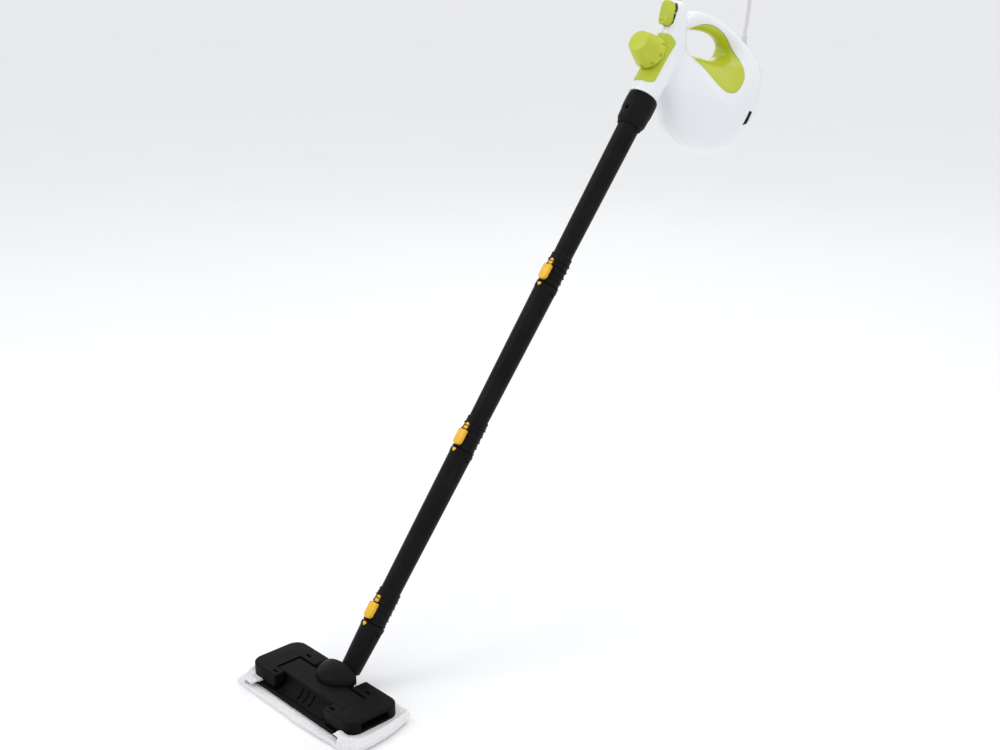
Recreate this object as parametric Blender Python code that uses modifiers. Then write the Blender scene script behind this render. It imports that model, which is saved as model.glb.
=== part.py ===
"""Steam mop: hand unit with boiler, three-piece pole, jointed floor head and cloth.

Row frame: origin in the middle of the hand grip, +X along the floor head, -Y the front
(away from the user), +Z up. Sizes are written in millimetres from the floor-head frame
(origin on the floor under the middle of the head) and shifted by the grip position.
"""
import math

import bmesh
import bpy
from mathutils import Matrix, Vector

MM = 0.001
GAP = 0.3                       # clearance between pieces that touch

# ---- pose and overall sizes
LEAN = math.radians(38.42)      # pole leans back from vertical
POLE_Y = 30.4                   # where the pole axis meets the floor
GRIP = (0.0, 905.5, 1022.7)     # middle of the hand grip, seen from the head
LOCK_FIRST = 159.6              # top of the lowest lock key, along the pole
LOCK_PITCH = 320.0              # from one lock key to the next
TUBE_COUNT = 3
UNIT_START = 1153.0             # where the housing neck begins, along the pole

# ---- pole tubes
TUBE_R_LOW = 17.1
TUBE_R_TOP = 19.8
LIP_R = 20.6
SPIGOT_R = 15.7
MOUTH_R = SPIGOT_R + GAP
BORE_R = 12.6
SPIGOT_LEN = 30.0
LIP_BELOW_KEY = 33.0            # lock key top to the lip of the lower tube
COLLAR_ABOVE_KEY = 26.5
RIB_COUNT = 5
RIB_STEP = 11.0
TUBE_STEPS = 20
KEY_LEN = 28.0
KEY_W = 17.0
KEY_TOP_N = 24.8
KEY_TRAVEL = 2.0
KEY_FLOOR_N = 14.4

# ---- hand unit shell
WALL = 3.0
LEVELS = 1
SIDES = 10                      # cage corners round one section, outer skin
SIDES_IN = 6                    # and inner skin
SPREAD = 1.055                  # cage size over finished size
SPREAD_IN = 1.14
SWELL = 1.03
LOOP_CENTRE = (915.0, 965.0)
# inner (y, z), outer (y, z), half width: sections round the finger opening
LOOP = (
    ((850.0, 1014.0), (858.0, 1046.0), 15.5),
    ((880.0, 1014.5), (884.0, 1047.0), 16.5),
    ((917.0, 1009.0), (930.0, 1038.0), 17.5),
    ((948.0, 997.0), (975.0, 1017.0), 20.5),
    ((966.0, 982.0), (1014.0, 991.0), 28.0),
    ((969.0, 968.0), (1048.0, 949.0), 42.0),
    ((958.0, 960.0), (1059.0, 891.0), 55.0),
    ((940.0, 958.0), (1033.0, 822.0), 61.0),
    ((920.0, 960.0), (974.0, 792.0), 63.0),
    ((900.0, 965.0), (908.0, 792.0), 63.0),
    ((881.0, 970.0), (840.0, 818.0), 58.0),
    ((864.0, 971.0), (799.0, 876.0), 44.0),
    ((845.0, 985.0), (802.0, 946.0), 24.0),
    ((840.0, 1003.0), (815.0, 1003.0), 13.0),
)
# front (y, z), back (y, z), half width: sections up the front column
COLUMN = (
    ((695.7, 882.7), (738.5, 848.7), 27.3),
    ((714.0, 906.0), (756.8, 872.0), 27.3),
    ((724.5, 923.6), (766.0, 890.6), 27.3),
    ((748.5, 951.0), (789.0, 915.0), 27.6),
    ((770.5, 978.5), (815.0, 938.0), 28.6),
    ((791.5, 1006.0), (850.0, 974.0), 26.0),
    ((806.0, 1034.0), (849.5, 1012.0), 20.5),
    ((817.5, 1061.0), (851.5, 1052.0), 16.5),
    ((824.0, 1068.5), (847.5, 1066.5), 11.5),
)
# outline of the coloured grip inlay, seen from the side
INLAY = (
    (853.0, 1012.0), (866.0, 1021.5), (891.0, 1026.0), (920.0, 1021.5), (949.0, 1006.0),
    (971.0, 982.0), (979.0, 955.0), (971.0, 926.0), (943.0, 906.0), (914.0, 906.0),
    (890.0, 921.0), (872.0, 944.0), (859.0, 968.0), (855.0, 990.0),
)

# ---- filler cap, along its own axis
CAP_AXIS_UP = math.radians(33.5)
CAP_Y, CAP_Z = 771.5, 974.5
CAP_BASE_R = 31.0
CAP_TIP_R = 20.5
CAP_LEN = 52.0
CAP_RING_R = 20.0
CAP_RING_H = 10.0
FILLER_R = 11.0
FILLER_LEN = 152.0
PLATE_LEN = 97.0
PLATE_W = 46.0
PLATE_T = 1.6

# ---- steam button
BUTTON_LEAN = math.radians(17.0)
BUTTON_Y, BUTTON_Z = 810.5, 1045.0
BUTTON_LEN = 43.0
BUTTON_W = 21.5
BUTTON_PROUD = 17.0
BUTTON_TRAVEL = 4.0

# ---- boiler and heater
BOILER_Y, BOILER_Z = 938.0, 866.0
BOILER_R = 46.0
BOILER_H = 78.0
BOILER_WALL = 3.0
HEATER_R = 30.0

# ---- cord
CORD_R = 3.5
CORD_EXIT_Y, CORD_EXIT_Z = 1036.0, 962.0
CORD_TURN_Z = 1082.0
CORD_DOWN_Y = 950.5
COIL_X, COIL_Y, COIL_Z = -92.0, 995.0, 884.0
COIL_MAJOR = 44.5
COIL_MINOR = 12.5

# ---- floor head
BASE_X, BASE_Y0, BASE_Y1 = 121.0, -50.0, 54.0
BASE_Z0, BASE_Z1 = 6.4, 13.4
CORE_X, CORE_Y0, CORE_Y1, CORE_TOP = 86.5, -22.5, 20.5, 36.8
WING_X0, WING_X1 = 66.0, 136.0
DOME_Y, DOME_R, DOME_H, DOME_Z = 44.0, 44.0, 17.5, 37.2
DOME_CUT = math.radians(-22.0)  # back edge of the dome, parallel to the raised pole
DOME_CLEAR = 4.5                # room for the dome between the back arms
WING_BACK_X = DOME_R + DOME_CLEAR   # the back arms reach further in than the front ones
WING_BACK_Z = 26.0
WING_Y0, WING_Y1 = -45.0, 53.0
WING_Z0, WING_Z1 = 15.2, 38.4
WING_AXIS_X, WING_AXIS_Z = 71.0, 30.5
WING_GAP = 2.2
WING_CORNER = 21.0
PIN_R = 1.7
CLOTH_X = 143.0
CLOTH_Y0, CLOTH_Y1 = -65.0, 68.0
CLOTH_T = 6.1
FOLD_X = 101.0
FOLD_TOP = 17.9
SWIVEL_Y = 34.0
NECK_S = 34.47                  # neck hinge, along the pole

SIN, COS = math.sin(LEAN), math.cos(LEAN)
UP = Matrix.Translation(Vector(GRIP) * -MM)


def pole(s=0.0, n=0.0):
    """Frame on the pole: local Z up the pole, local -Y towards the front."""
    y = POLE_Y + s * SIN - n * COS
    z = s * COS + n * SIN
    return UP @ Matrix.Translation(Vector((0, y, z)) * MM) @ Matrix.Rotation(-LEAN, 4, "X")


def at(x=0.0, y=0.0, z=0.0, rx=0.0, ry=0.0, rz=0.0):
    """Frame at a point of the floor-head frame."""
    turn = Matrix.Rotation(rz, 4, "Z") @ Matrix.Rotation(ry, 4, "Y") @ Matrix.Rotation(rx, 4, "X")
    return UP @ Matrix.Translation(Vector((x, y, z)) * MM) @ turn


def clear():
    for obj in list(bpy.data.objects):
        bpy.data.objects.remove(obj, do_unlink=True)
    for coll in list(bpy.data.collections):
        bpy.data.collections.remove(coll)


def collection(name):
    coll = bpy.data.collections.new(name)
    bpy.context.scene.collection.children.link(coll)
    return coll


clear()
MODEL = collection("steam_mop")
CUTTERS = collection("cutters")


def material(name, color, rough, metal=0.0):
    mat = bpy.data.materials.get(name)
    if mat:
        return mat
    mat = bpy.data.materials.new(name)
    mat.use_nodes = True
    shader = mat.node_tree.nodes["Principled BSDF"]
    shader.inputs["Base Color"].default_value = (*color, 1.0)
    shader.inputs["Roughness"].default_value = rough
    shader.inputs["Metallic"].default_value = metal
    mat.diffuse_color = (*color, 1.0)
    return mat


LOOKS = {
    "white": ((0.86, 0.87, 0.88), 0.22, 0.0),
    "lime": ((0.48, 0.56, 0.03), 0.35, 0.0),
    "black": ((0.012, 0.012, 0.013), 0.42, 0.0),
    "yellow": ((0.85, 0.50, 0.02), 0.4, 0.0),
    "rubber": ((0.03, 0.03, 0.03), 0.7, 0.0),
    "steel": ((0.6, 0.6, 0.6), 0.3, 1.0),
    "brass": ((0.7, 0.5, 0.2), 0.3, 1.0),
    "alloy": ((0.7, 0.7, 0.7), 0.45, 1.0),
    "hose": ((0.8, 0.8, 0.78), 0.5, 0.0),
    "cord": ((0.84, 0.84, 0.84), 0.5, 0.0),
    "cloth": ((0.88, 0.87, 0.86), 0.95, 0.0),
}


def add(name, mesh, frame, cutter=False):
    obj = bpy.data.objects.new(name, mesh)
    obj.matrix_world = frame
    (CUTTERS if cutter else MODEL).objects.link(obj)
    if cutter:
        obj.hide_render = True
        obj.display_type = "WIRE"
    return obj


def finish(obj, look, smooth=False):
    """Give a finished node its own material and shading."""
    mat = material(obj.name + "_" + look, *LOOKS[look])
    obj.data.materials.clear()
    obj.data.materials.append(mat)
    for face in obj.data.polygons:
        face.use_smooth = smooth
    return obj


def bake(obj):
    """Replace the object's mesh by its evaluated one."""
    bpy.context.view_layer.update()
    graph = bpy.context.evaluated_depsgraph_get()
    mesh = bpy.data.meshes.new_from_object(obj.evaluated_get(graph))
    if obj.type != "MESH":
        new = bpy.data.objects.new(obj.name + "_mesh", mesh)
        new.matrix_world = obj.matrix_world
        for coll in obj.users_collection:
            coll.objects.link(new)
        name = obj.name
        bpy.data.objects.remove(obj, do_unlink=True)
        new.name = name
        obj = new
    else:
        obj.modifiers.clear()
        obj.data = mesh
    return obj


def weld(obj, dist=0.01):
    bm = bmesh.new()
    bm.from_mesh(obj.data)
    bmesh.ops.remove_doubles(bm, verts=bm.verts, dist=dist * MM)
    bmesh.ops.dissolve_degenerate(bm, edges=bm.edges, dist=dist * MM)
    bmesh.ops.recalc_face_normals(bm, faces=bm.faces)
    bm.to_mesh(obj.data)
    bm.free()
    return obj


def boolean(obj, other, kind, keep=False):
    mod = obj.modifiers.new("cut", "BOOLEAN")
    mod.object = other
    mod.operation = kind
    mod.solver = "EXACT"
    obj = weld(bake(obj))
    if not keep:
        bpy.data.objects.remove(other, do_unlink=True)
    return obj


def copy(obj, name, cutter=True):
    new = add(name, obj.data.copy(), obj.matrix_world.copy(), cutter)
    return new


def mesh_from(name, verts, faces):
    mesh = bpy.data.meshes.new(name)
    mesh.from_pydata([Vector(v) * MM for v in verts], [], faces)
    mesh.update()
    return mesh


def block(name, lo, hi, frame=UP, bevel=0.0, cutter=False, segments=2):
    """Box between two corners, with rounded edges if asked."""
    bm = bmesh.new()
    bmesh.ops.create_cube(bm, size=1.0)
    size = [b - a for a, b in zip(lo, hi)]
    mid = [(a + b) / 2 for a, b in zip(lo, hi)]
    for v in bm.verts:
        v.co = Vector([(c * s + m) * MM for c, s, m in zip(v.co, size, mid)])
    mesh = bpy.data.meshes.new(name)
    bm.to_mesh(mesh)
    bm.free()
    obj = add(name, mesh, frame, cutter)
    if bevel:
        mod = obj.modifiers.new("round", "BEVEL")
        mod.width = bevel * MM
        mod.segments = segments
        obj = bake(obj)
    return obj


def turned(name, profile, frame, steps=TUBE_STEPS, cutter=False, closed=False):
    """Body of revolution about local Z from (radius, height) pairs."""
    verts = [(r, 0.0, h) for r, h in profile]
    mesh = bpy.data.meshes.new(name)
    edges = [(i, i + 1) for i in range(len(verts) - 1)]
    if closed:
        edges.append((len(verts) - 1, 0))
    mesh.from_pydata([Vector(v) * MM for v in verts], edges, [])
    obj = add(name, mesh, frame, cutter)
    mod = obj.modifiers.new("turn", "SCREW")
    mod.axis = "Z"
    mod.steps = steps
    mod.render_steps = steps
    mod.use_merge_vertices = True
    mod.merge_threshold = 0.00001
    return weld(bake(obj))


def prism(name, outline, depth0, depth1, frame, cutter=False, bevel=0.0, segments=1):
    """Outline in local X-Y pushed from depth0 to depth1 along local Z."""
    count = len(outline)
    verts = [(x, y, depth0) for x, y in outline] + [(x, y, depth1) for x, y in outline]
    faces = [tuple(range(count - 1, -1, -1)), tuple(range(count, 2 * count))]
    faces += [(i, (i + 1) % count, count + (i + 1) % count, count + i) for i in range(count)]
    obj = add(name, mesh_from(name, verts, faces), frame, cutter)
    weld(obj)
    if bevel:
        mod = obj.modifiers.new("round", "BEVEL")
        mod.width = bevel * MM
        mod.segments = segments
        mod.limit_method = "ANGLE"
        mod.angle_limit = math.radians(50)
        obj = weld(bake(obj))
    return obj


def side(y=0.0, z=0.0):
    """Frame whose local X, Y, Z run along the head frame's Y, Z, X."""
    turn = Matrix(((0, 0, 1, 0), (1, 0, 0, 0), (0, 1, 0, 0), (0, 0, 0, 1)))
    return UP @ Matrix.Translation(Vector((0, y, z)) * MM) @ turn


def smooth_outline(points, per_side=3):
    """Closed Catmull-Rom curve through the points."""
    out = []
    count = len(points)
    for i in range(count):
        p0, p1, p2, p3 = (Vector(points[(i + k - 1) % count]) for k in range(4))
        for j in range(per_side):
            t = j / per_side
            out.append(tuple(0.5 * ((2 * p1) + (p2 - p0) * t + (2 * p0 - 5 * p1 + 4 * p2 - p3) * t * t
                                    + (3 * p1 - p0 - 3 * p2 + p3) * t ** 3)))
    return out


def rounded(x0, y0, x1, y1, r, per=4):
    """Rounded rectangle outline."""
    out = []
    corners = ((x1 - r, y0 + r, -90), (x1 - r, y1 - r, 0), (x0 + r, y1 - r, 90), (x0 + r, y0 + r, 180))
    for cx, cy, a0 in corners:
        for k in range(per + 1):
            a = math.radians(a0 + 90 * k / per)
            out.append((cx + r * math.cos(a), cy + r * math.sin(a)))
    return out


def tube(name, points, radius, frame=UP, resolution=2, cutter=False):
    """Round rod along a row of points."""
    curve = bpy.data.curves.new(name, "CURVE")
    curve.dimensions = "3D"
    curve.bevel_depth = radius * MM
    curve.bevel_resolution = resolution
    curve.use_fill_caps = True
    line = curve.splines.new("POLY")
    line.points.add(len(points) - 1)
    for p, co in zip(line.points, points):
        p.co = (*(Vector(co) * MM), 1.0)
    obj = bpy.data.objects.new(name, curve)
    obj.matrix_world = frame
    (CUTTERS if cutter else MODEL).objects.link(obj)
    return weld(bake(obj))


# ------------------------------------------------------------------ hand unit shell
def section(inner, outer, half_width, spread, inset, sides):
    """Cage corners round one section."""
    a, b = Vector(inner), Vector(outer)
    mid = (a + b) / 2
    along = (b - a) / 2
    length = along.length
    along = along.normalized() * max(length - inset, 0.8)
    wide = max(half_width - inset, 0.8)
    ring = []
    for k in range(sides):
        t = 2 * math.pi * k / sides
        p = mid + along * (math.cos(t) * spread)
        ring.append((math.sin(t) * wide * spread, p.x, p.y))
    return ring


def lofted(name, rings, looped, levels):
    """Subdivided skin over a row of sections."""
    n = len(rings[0])
    verts = [p for ring in rings for p in ring]
    faces = []
    count = len(rings)
    for i in range(count if looped else count - 1):
        a, b = i * n, ((i + 1) % count) * n
        faces += [(a + k, a + (k + 1) % n, b + (k + 1) % n, b + k) for k in range(n)]
    if not looped:
        last = (count - 1) * n
        faces += [tuple(range(n)), tuple(last + n - 1 - k for k in range(n))]
    obj = add(name, mesh_from(name, verts, faces), UP, True)
    weld(obj)
    mod = obj.modifiers.new("skin", "SUBSURF")
    mod.levels = levels
    mod.render_levels = levels
    return weld(bake(obj))


def loop_rings(spread, inset, sides=SIDES):
    centre = Vector(LOOP_CENTRE)
    rings = []
    for inner, outer, wide in LOOP:
        a = centre + (Vector(inner) - centre) * SWELL
        b = centre + (Vector(outer) - centre) * SWELL
        rings.append(section(a, b, wide, spread, inset, sides))
    return rings


def column_rings(spread, inset, sides=SIDES):
    return [section(a, b, wide, spread, inset, sides) for a, b, wide in COLUMN]


def mirrored(obj, name):
    """Mirror image of an object across the plane x = 0."""
    new = copy(obj, name, False)
    bm = bmesh.new()
    bm.from_mesh(new.data)
    for v in bm.verts:
        v.co.x = -v.co.x
    bmesh.ops.reverse_faces(bm, faces=bm.faces)
    bm.to_mesh(new.data)
    bm.free()
    return new


def unit_solid(name, spread, inset, levels, sides):
    body = lofted(name, loop_rings(spread, inset, sides), True, levels)
    column = lofted(name + "_column", column_rings(spread, inset, sides), False, levels)
    return boolean(body, column, "UNION")


def cap_frame(t=0.0):
    """Local Z out of the housing along the filler cap's axis, t along it."""
    y = CAP_Y - t * math.cos(CAP_AXIS_UP)
    z = CAP_Z + t * math.sin(CAP_AXIS_UP)
    return at(0, y, z, rx=math.pi / 2 - CAP_AXIS_UP)


def button_frame():
    """Local Z out of the housing along the button's axis, local Y up it."""
    return at(0, BUTTON_Y, BUTTON_Z, rx=math.pi / 2 - BUTTON_LEAN)


def octagon(length, width, chamfer):
    w, l = width / 2, length / 2
    return [(w, -l + chamfer), (w, l - chamfer * 1.2), (w - chamfer * 0.55, l), (-w + chamfer * 0.55, l),
            (-w, l - chamfer * 1.2), (-w, -l + chamfer), (-w + chamfer * 0.5, -l), (w - chamfer * 0.5, -l)]


def hand_unit():
    outer = unit_solid("unit_outer", SPREAD, 0.0, LEVELS, SIDES)
    inner = unit_solid("unit_inner", SPREAD_IN, WALL, LEVELS, SIDES_IN)
    end = block("neck_end", (-60, -60, -80), (60, 60, 0), pole(UNIT_START), cutter=True)
    outer = boolean(outer, end, "DIFFERENCE")
    solid = copy(outer, "unit_solid")
    shell = boolean(outer, inner, "DIFFERENCE")
    bore = turned("neck_bore", ((0, 13), (22.4, 13), (22.4, -9), (0, -9)), pole(UNIT_START), 24, True)
    shell = boolean(shell, bore, "DIFFERENCE")
    hole = turned("cap_hole", ((0, 10), (FILLER_R + 1.2, 10), (FILLER_R + 1.2, -30), (0, -30)),
                  cap_frame(), 20, True)
    shell = boolean(shell, hole, "DIFFERENCE")
    hole = prism("button_hole", octagon(BUTTON_LEN + 2 * GAP + 0.4, BUTTON_W + 2 * GAP + 0.4, 8), -14, 30,
                 button_frame(), True)
    shell = boolean(shell, hole, "DIFFERENCE")
    hole = turned("gland_hole", ((0, 20), (6.8, 20), (6.8, -20), (0, -20)),
                  at(0, CORD_EXIT_Y, CORD_EXIT_Z + 8), 16, True)
    shell = boolean(shell, hole, "DIFFERENCE")
    wide = prism("inlay_cut", smooth_outline(INLAY), -90, 90, side(), True)
    inlay_outline = smooth_outline(INLAY)
    mid = Vector((sum(p[0] for p in INLAY) / len(INLAY), sum(p[1] for p in INLAY) / len(INLAY)))
    small = []
    for p in inlay_outline:
        q = Vector(p)
        small.append(tuple(q + (mid - q).normalized() * 0.45))
    inlay = copy(shell, "grip_inlay", False)
    inlay = boolean(inlay, prism("inlay_keep", small, -89, 89, side(), True), "INTERSECT")
    shell = boolean(shell, wide, "DIFFERENCE")
    slot = prism("slot_cut", ((977, 844), (984.5, 844), (995.5, 864), (987.5, 866)), 30, 80, side(), True)
    right = copy(shell, "housing_right", False)
    bpy.data.objects.remove(shell, do_unlink=True)
    right = boolean(right, block("half", (-200, 600, 700), (0.15, 1200, 1200), cutter=True), "DIFFERENCE")
    left = mirrored(right, "housing_left")
    right = boolean(right, slot, "DIFFERENCE")
    finish(left, "white", True)
    finish(right, "white", True)
    finish(inlay, "lime", True)
    return solid


def skin_solid(name, inset):
    """Main body of the unit with its surface moved out by -inset."""
    return lofted(name, loop_rings(SPREAD, inset), True, LEVELS)


def column_solid(name, inset):
    return lofted(name, column_rings(SPREAD, inset), False, LEVELS)


def control_panel():
    """Lime plate on the column with the filler cap, its seat ring, tube and seal."""
    front = pole(1220.0) @ Matrix.Rotation(math.pi / 2, 4, "X")
    plate = column_solid("control_plate", -(GAP + PLATE_T))
    keep = prism("plate_keep", rounded(-PLATE_W / 2, -PLATE_LEN / 2, PLATE_W / 2, PLATE_LEN / 2, 10), 4, 70,
                 front, True)
    plate = boolean(plate, keep, "INTERSECT")
    plate = boolean(plate, column_solid("plate_inner", -GAP), "DIFFERENCE")
    hole = turned("ring_hole", ((0, 30), (CAP_RING_R + GAP, 30), (CAP_RING_R + GAP, -14), (0, -14)),
                  cap_frame(), 32, True)
    plate = boolean(plate, hole, "DIFFERENCE")
    plate = to_model(plate)
    finish(plate, "lime", True)
    profile = ((CAP_RING_R - 1.5, CAP_RING_H), (CAP_RING_R, CAP_RING_H - 1.5), (CAP_RING_R, -12),
               (FILLER_R + GAP, -12), (FILLER_R + GAP, CAP_RING_H))
    ring = turned("cap_seat", profile, cap_frame(), 24, closed=True)
    ring = boolean(ring, column_solid("ring_inner", -GAP), "DIFFERENCE")
    finish(ring, "lime", True)
    low = CAP_RING_H + 0.5
    profile = ((0, CAP_LEN + 3), (CAP_TIP_R - 6, CAP_LEN + 2.6), (CAP_TIP_R - 1.5, CAP_LEN + 0.5),
               (CAP_TIP_R, CAP_LEN - 2), (CAP_BASE_R - 3.4, low + 14), (CAP_BASE_R, low + 4),
               (CAP_BASE_R, low), (FILLER_R + 6, low), (FILLER_R + 3, 36), (0, 36))
    cap = turned("safety_cap", profile, cap_frame(), 32)
    for k in range(6):
        turn = Matrix.Rotation(math.radians(60 * k + 30), 4, "Z")
        notch = block("flute", (CAP_BASE_R - 3.0, -4.5, low + 1.5), (CAP_BASE_R + 9, 4.5, low + 13),
                      cap_frame() @ turn, cutter=True)
        cap = boolean(cap, notch, "DIFFERENCE")
    finish(cap, "lime", True)
    neck = turned("filler_tube", ((FILLER_R, 26), (FILLER_R, -FILLER_LEN), (FILLER_R - 2.5, -FILLER_LEN),
                                  (FILLER_R - 2.5, 26)), cap_frame(), 20, closed=True)
    finish(neck, "brass", True)
    profile = ((FILLER_R, 29.3), (FILLER_R, 26.3), (FILLER_R - 3, 26.3), (FILLER_R - 3, 29.3))
    seal = turned("cap_seal", profile, cap_frame(), 20, closed=True)
    finish(seal, "rubber", True)


def to_model(obj):
    for coll in list(obj.users_collection):
        coll.objects.unlink(obj)
    MODEL.objects.link(obj)
    obj.hide_render = False
    obj.display_type = "TEXTURED"
    return obj


def steam_controls():
    """Thumb button, its spring, the valve and the steam pipes."""
    frame = button_frame()
    button = prism("steam_button", octagon(BUTTON_LEN, BUTTON_W, 8), -8, BUTTON_PROUD, frame,
                   bevel=1.8, segments=2)
    face = block("button_recess", (-4.5, -17.5, BUTTON_PROUD - 1.2), (4.5, -12.5, BUTTON_PROUD + 5), frame,
                 cutter=True)
    button = boolean(button, face, "DIFFERENCE")
    stem = turned("button_stem", ((0, 0), (2.6, 0), (2.6, -12.6), (0, -12.6)), frame, 12, True)
    button = boolean(button, stem, "UNION")
    finish(button, "lime")
    turns, per = 3, 9
    coil = []
    for k in range(turns * per + 1):
        a = 2 * math.pi * k / per
        coil.append((4.6 * math.cos(a), 4.6 * math.sin(a), -17.1 + 4.0 * k / (turns * per)))
    finish(tube("button_spring", coil, 0.5, frame, 1), "steel", True)
    valve = turned("steam_valve", ((0, -24.5), (3.0, -24.5), (3.0, -17.9), (9.0, -17.9), (9.0, -30), (6, -32),
                                   (0, -32)), frame, 16)
    finish(valve, "brass", True)
    up = ((15, 914, 893), (15, 900, 917), (15.5, 876, 931), (15, 846, 950), (11.3, 833, 975),
          (9.5, 834, 1000), (8, 835, 1016), (5, 836, 1024.5))
    finish(tube("steam_pipe_up", up, 2.4, UP, 2), "hose", True)
    down = ((-5, 836, 1024.5), (-9, 833, 1014), (-12, 826, 998), (-15.5, 808, 972), (-14, 793, 953),
            (-6, 780, 940), (0, 771.8, 934.6))
    finish(tube("steam_pipe_down", down, 2.4, UP, 2), "hose", True)
    nozzle = turned("steam_nozzle", ((6, 1188), (6, 1150), (4, 1146), (4, 1108), (2.0, 1108), (2.0, 1188)),
                    pole(), 16, closed=True)
    finish(nozzle, "brass", True)


def boiler_group():
    h, r, w = BOILER_H / 2, BOILER_R, BOILER_WALL
    outer = ((0, h), (22, h - 1.2), (37, h - 8), (r, h - 22), (r, 22 - h), (37, 8 - h), (22, 1.2 - h),
             (0, -h))
    boiler = turned("boiler", outer, at(0, BOILER_Y, BOILER_Z), 24)
    inner = ((0, h - w), (21, h - w - 1), (35, h - w - 7), (r - w, h - 22), (r - w, 22 - h), (35, w + 7 - h),
             (21, w + 1 - h), (0, w - h))
    boiler = boolean(boiler, turned("boiler_void", inner, at(0, BOILER_Y, BOILER_Z), 24, True), "DIFFERENCE")
    hole = turned("filler_hole", ((0, -100), (FILLER_R + GAP, -100), (FILLER_R + GAP, -170), (0, -170)),
                  cap_frame(), 20, True)
    boiler = boolean(boiler, hole, "DIFFERENCE")
    hole = tube("pipe_hole", ((15, 920, 880), (15, 900, 921)), 2.4 + GAP, UP, 2, True)
    boiler = boolean(boiler, hole, "DIFFERENCE")
    finish(boiler, "alloy", True)
    ring = torus("heater_ring", HEATER_R, 3.6, at(0, BOILER_Y, BOILER_Z - h - 1.6), 24, 8)
    finish(ring, "steel", True)
    stat = turned("thermostat", ((0, 9), (8, 9), (8, 1), (11, 1), (11, 0.2), (0, 0.2)),
                  at(0, BOILER_Y + 14, BOILER_Z + h - 0.1), 16)
    finish(stat, "steel", True)


def torus(name, major, minor, frame, steps, sides, cutter=False):
    ring = []
    for k in range(sides):
        a = 2 * math.pi * k / sides
        ring.append((major + minor * math.cos(a), -minor * math.sin(a)))
    return turned(name, ring, frame, steps, cutter, True)


def rear_parts():
    """Cover on the back, side slot insert and cord gland."""
    outline = ((1020, 845), (1048, 849), (1058, 866), (1066, 895), (1069.5, 925), (1068, 943), (1060, 951),
               (1020, 951))
    cover = prism("rear_cover", outline[::-1], -27, 27, side(), bevel=6, segments=2)
    cover = boolean(cover, skin_solid("rear_inner", -GAP), "DIFFERENCE")
    finish(cover, "white", True)
    insert = prism("slot_insert", ((977.6, 844.5), (984.2, 844.4), (994.9, 863.6), (987.8, 865.4)), 46, 57.6,
                   side())
    finish(insert, "black")
    profile = ((0, 38), (4.6, 38), (5.4, 36), (5.6, 20), (6.5, 14), (6.5, 0), (0, 0))
    gland = turned("cord_gland", profile, at(0, CORD_EXIT_Y, CORD_EXIT_Z), 16)
    finish(gland, "cord", True)


def cord_points():
    """Route of the cord: up out of the gland, over, and down to the coil."""
    z0 = CORD_EXIT_Z + 40.0
    top = 1062.0
    pts = []
    for k in range(5):
        t = k / 4
        pts.append((0.0, CORD_EXIT_Y + 15.0 * t - 5.0 * t * t, z0 + (top - z0) * t))
    x1, y0, y1 = COIL_X, CORD_EXIT_Y + 10.0, CORD_DOWN_Y
    for k in range(1, 13):
        a = math.pi * k / 12
        u = (1 - math.cos(a)) / 2
        pts.append((x1 * u, y0 + (y1 - y0) * u, top + 34.0 * math.sin(a)))
    low = COIL_Z + 42.5
    for k in range(1, 9):
        pts.append((x1, y1, top + (low - top) * k / 8))
    return pts


def cord_group():
    """Mains cord: free run, coil of the rest, tie, plug and pins."""
    finish(tube("cord", cord_points(), CORD_R, UP, 2), "cord", True)
    frame = at(COIL_X, COIL_Y, COIL_Z, ry=math.pi / 2)
    finish(torus("cord_coil", COIL_MAJOR, COIL_MINOR, frame, 24, 8), "cord", True)
    tie = torus("coil_tie", COIL_MINOR + 2.2, 1.5, at(COIL_X, COIL_Y, COIL_Z - COIL_MAJOR, rx=math.pi / 2)
                @ Matrix.Rotation(math.pi / 2, 4, "X") @ Matrix.Rotation(math.pi / 2, 4, "X"), 20, 6)
    finish(tie, "black", True)
    plug = block("plug", (COIL_X - 9, COIL_Y - 14, COIL_Z - 8), (COIL_X + 9, COIL_Y + 14, COIL_Z + 18), UP,
                 bevel=3.5)
    neck = turned("plug_neck", ((0, 30.5), (4.5, 30.5), (5.5, 10), (0, 10)), at(COIL_X, COIL_Y, COIL_Z), 12,
                  True)
    plug = boolean(plug, neck, "UNION")
    finish(plug, "cord")
    for name, dy in (("plug_pin_1", -7.0), ("plug_pin_2", 7.0)):
        pin = turned(name, ((0, -8.3), (2.2, -8.3), (2.2, -21.5), (1.4, -23), (0, -23)),
                     at(COIL_X, COIL_Y + dy, COIL_Z), 10)
        finish(pin, "brass", True)


# ------------------------------------------------------------------ pole
def tube_profile(key_top, end):
    """Closed profile of one pole tube: mouth at `end`, ribbed collar at its lock key."""
    lip = key_top - LIP_BELOW_KEY
    low = lip + 0.4 - SPIGOT_LEN
    collar_top = key_top + COLLAR_ABOVE_KEY
    pts = [(LIP_R, end), (LIP_R, end - 7), (TUBE_R_TOP, end - 9), (TUBE_R_LOW, collar_top + 1.5)]
    pts += [(19.1, collar_top)]
    z = collar_top - 3.0
    for _ in range(RIB_COUNT):
        pts += [(18.7, z), (19.9, z - RIB_STEP + 1.2), (18.7, z - RIB_STEP + 0.7)]
        z -= RIB_STEP
    pts += [(19.3, lip + 0.8), (SPIGOT_R, lip + 0.4)]
    pts += [(SPIGOT_R, low + 18), (SPIGOT_R - 1.8, low + 17.6), (SPIGOT_R - 1.8, low + 15)]
    pts += [(SPIGOT_R, low + 14.6)]
    pts += [(SPIGOT_R - 0.6, low), (BORE_R, low), (BORE_R, end - SPIGOT_LEN - 4)]
    pts += [(MOUTH_R, end - SPIGOT_LEN - 3), (MOUTH_R, end)]
    return pts


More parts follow.
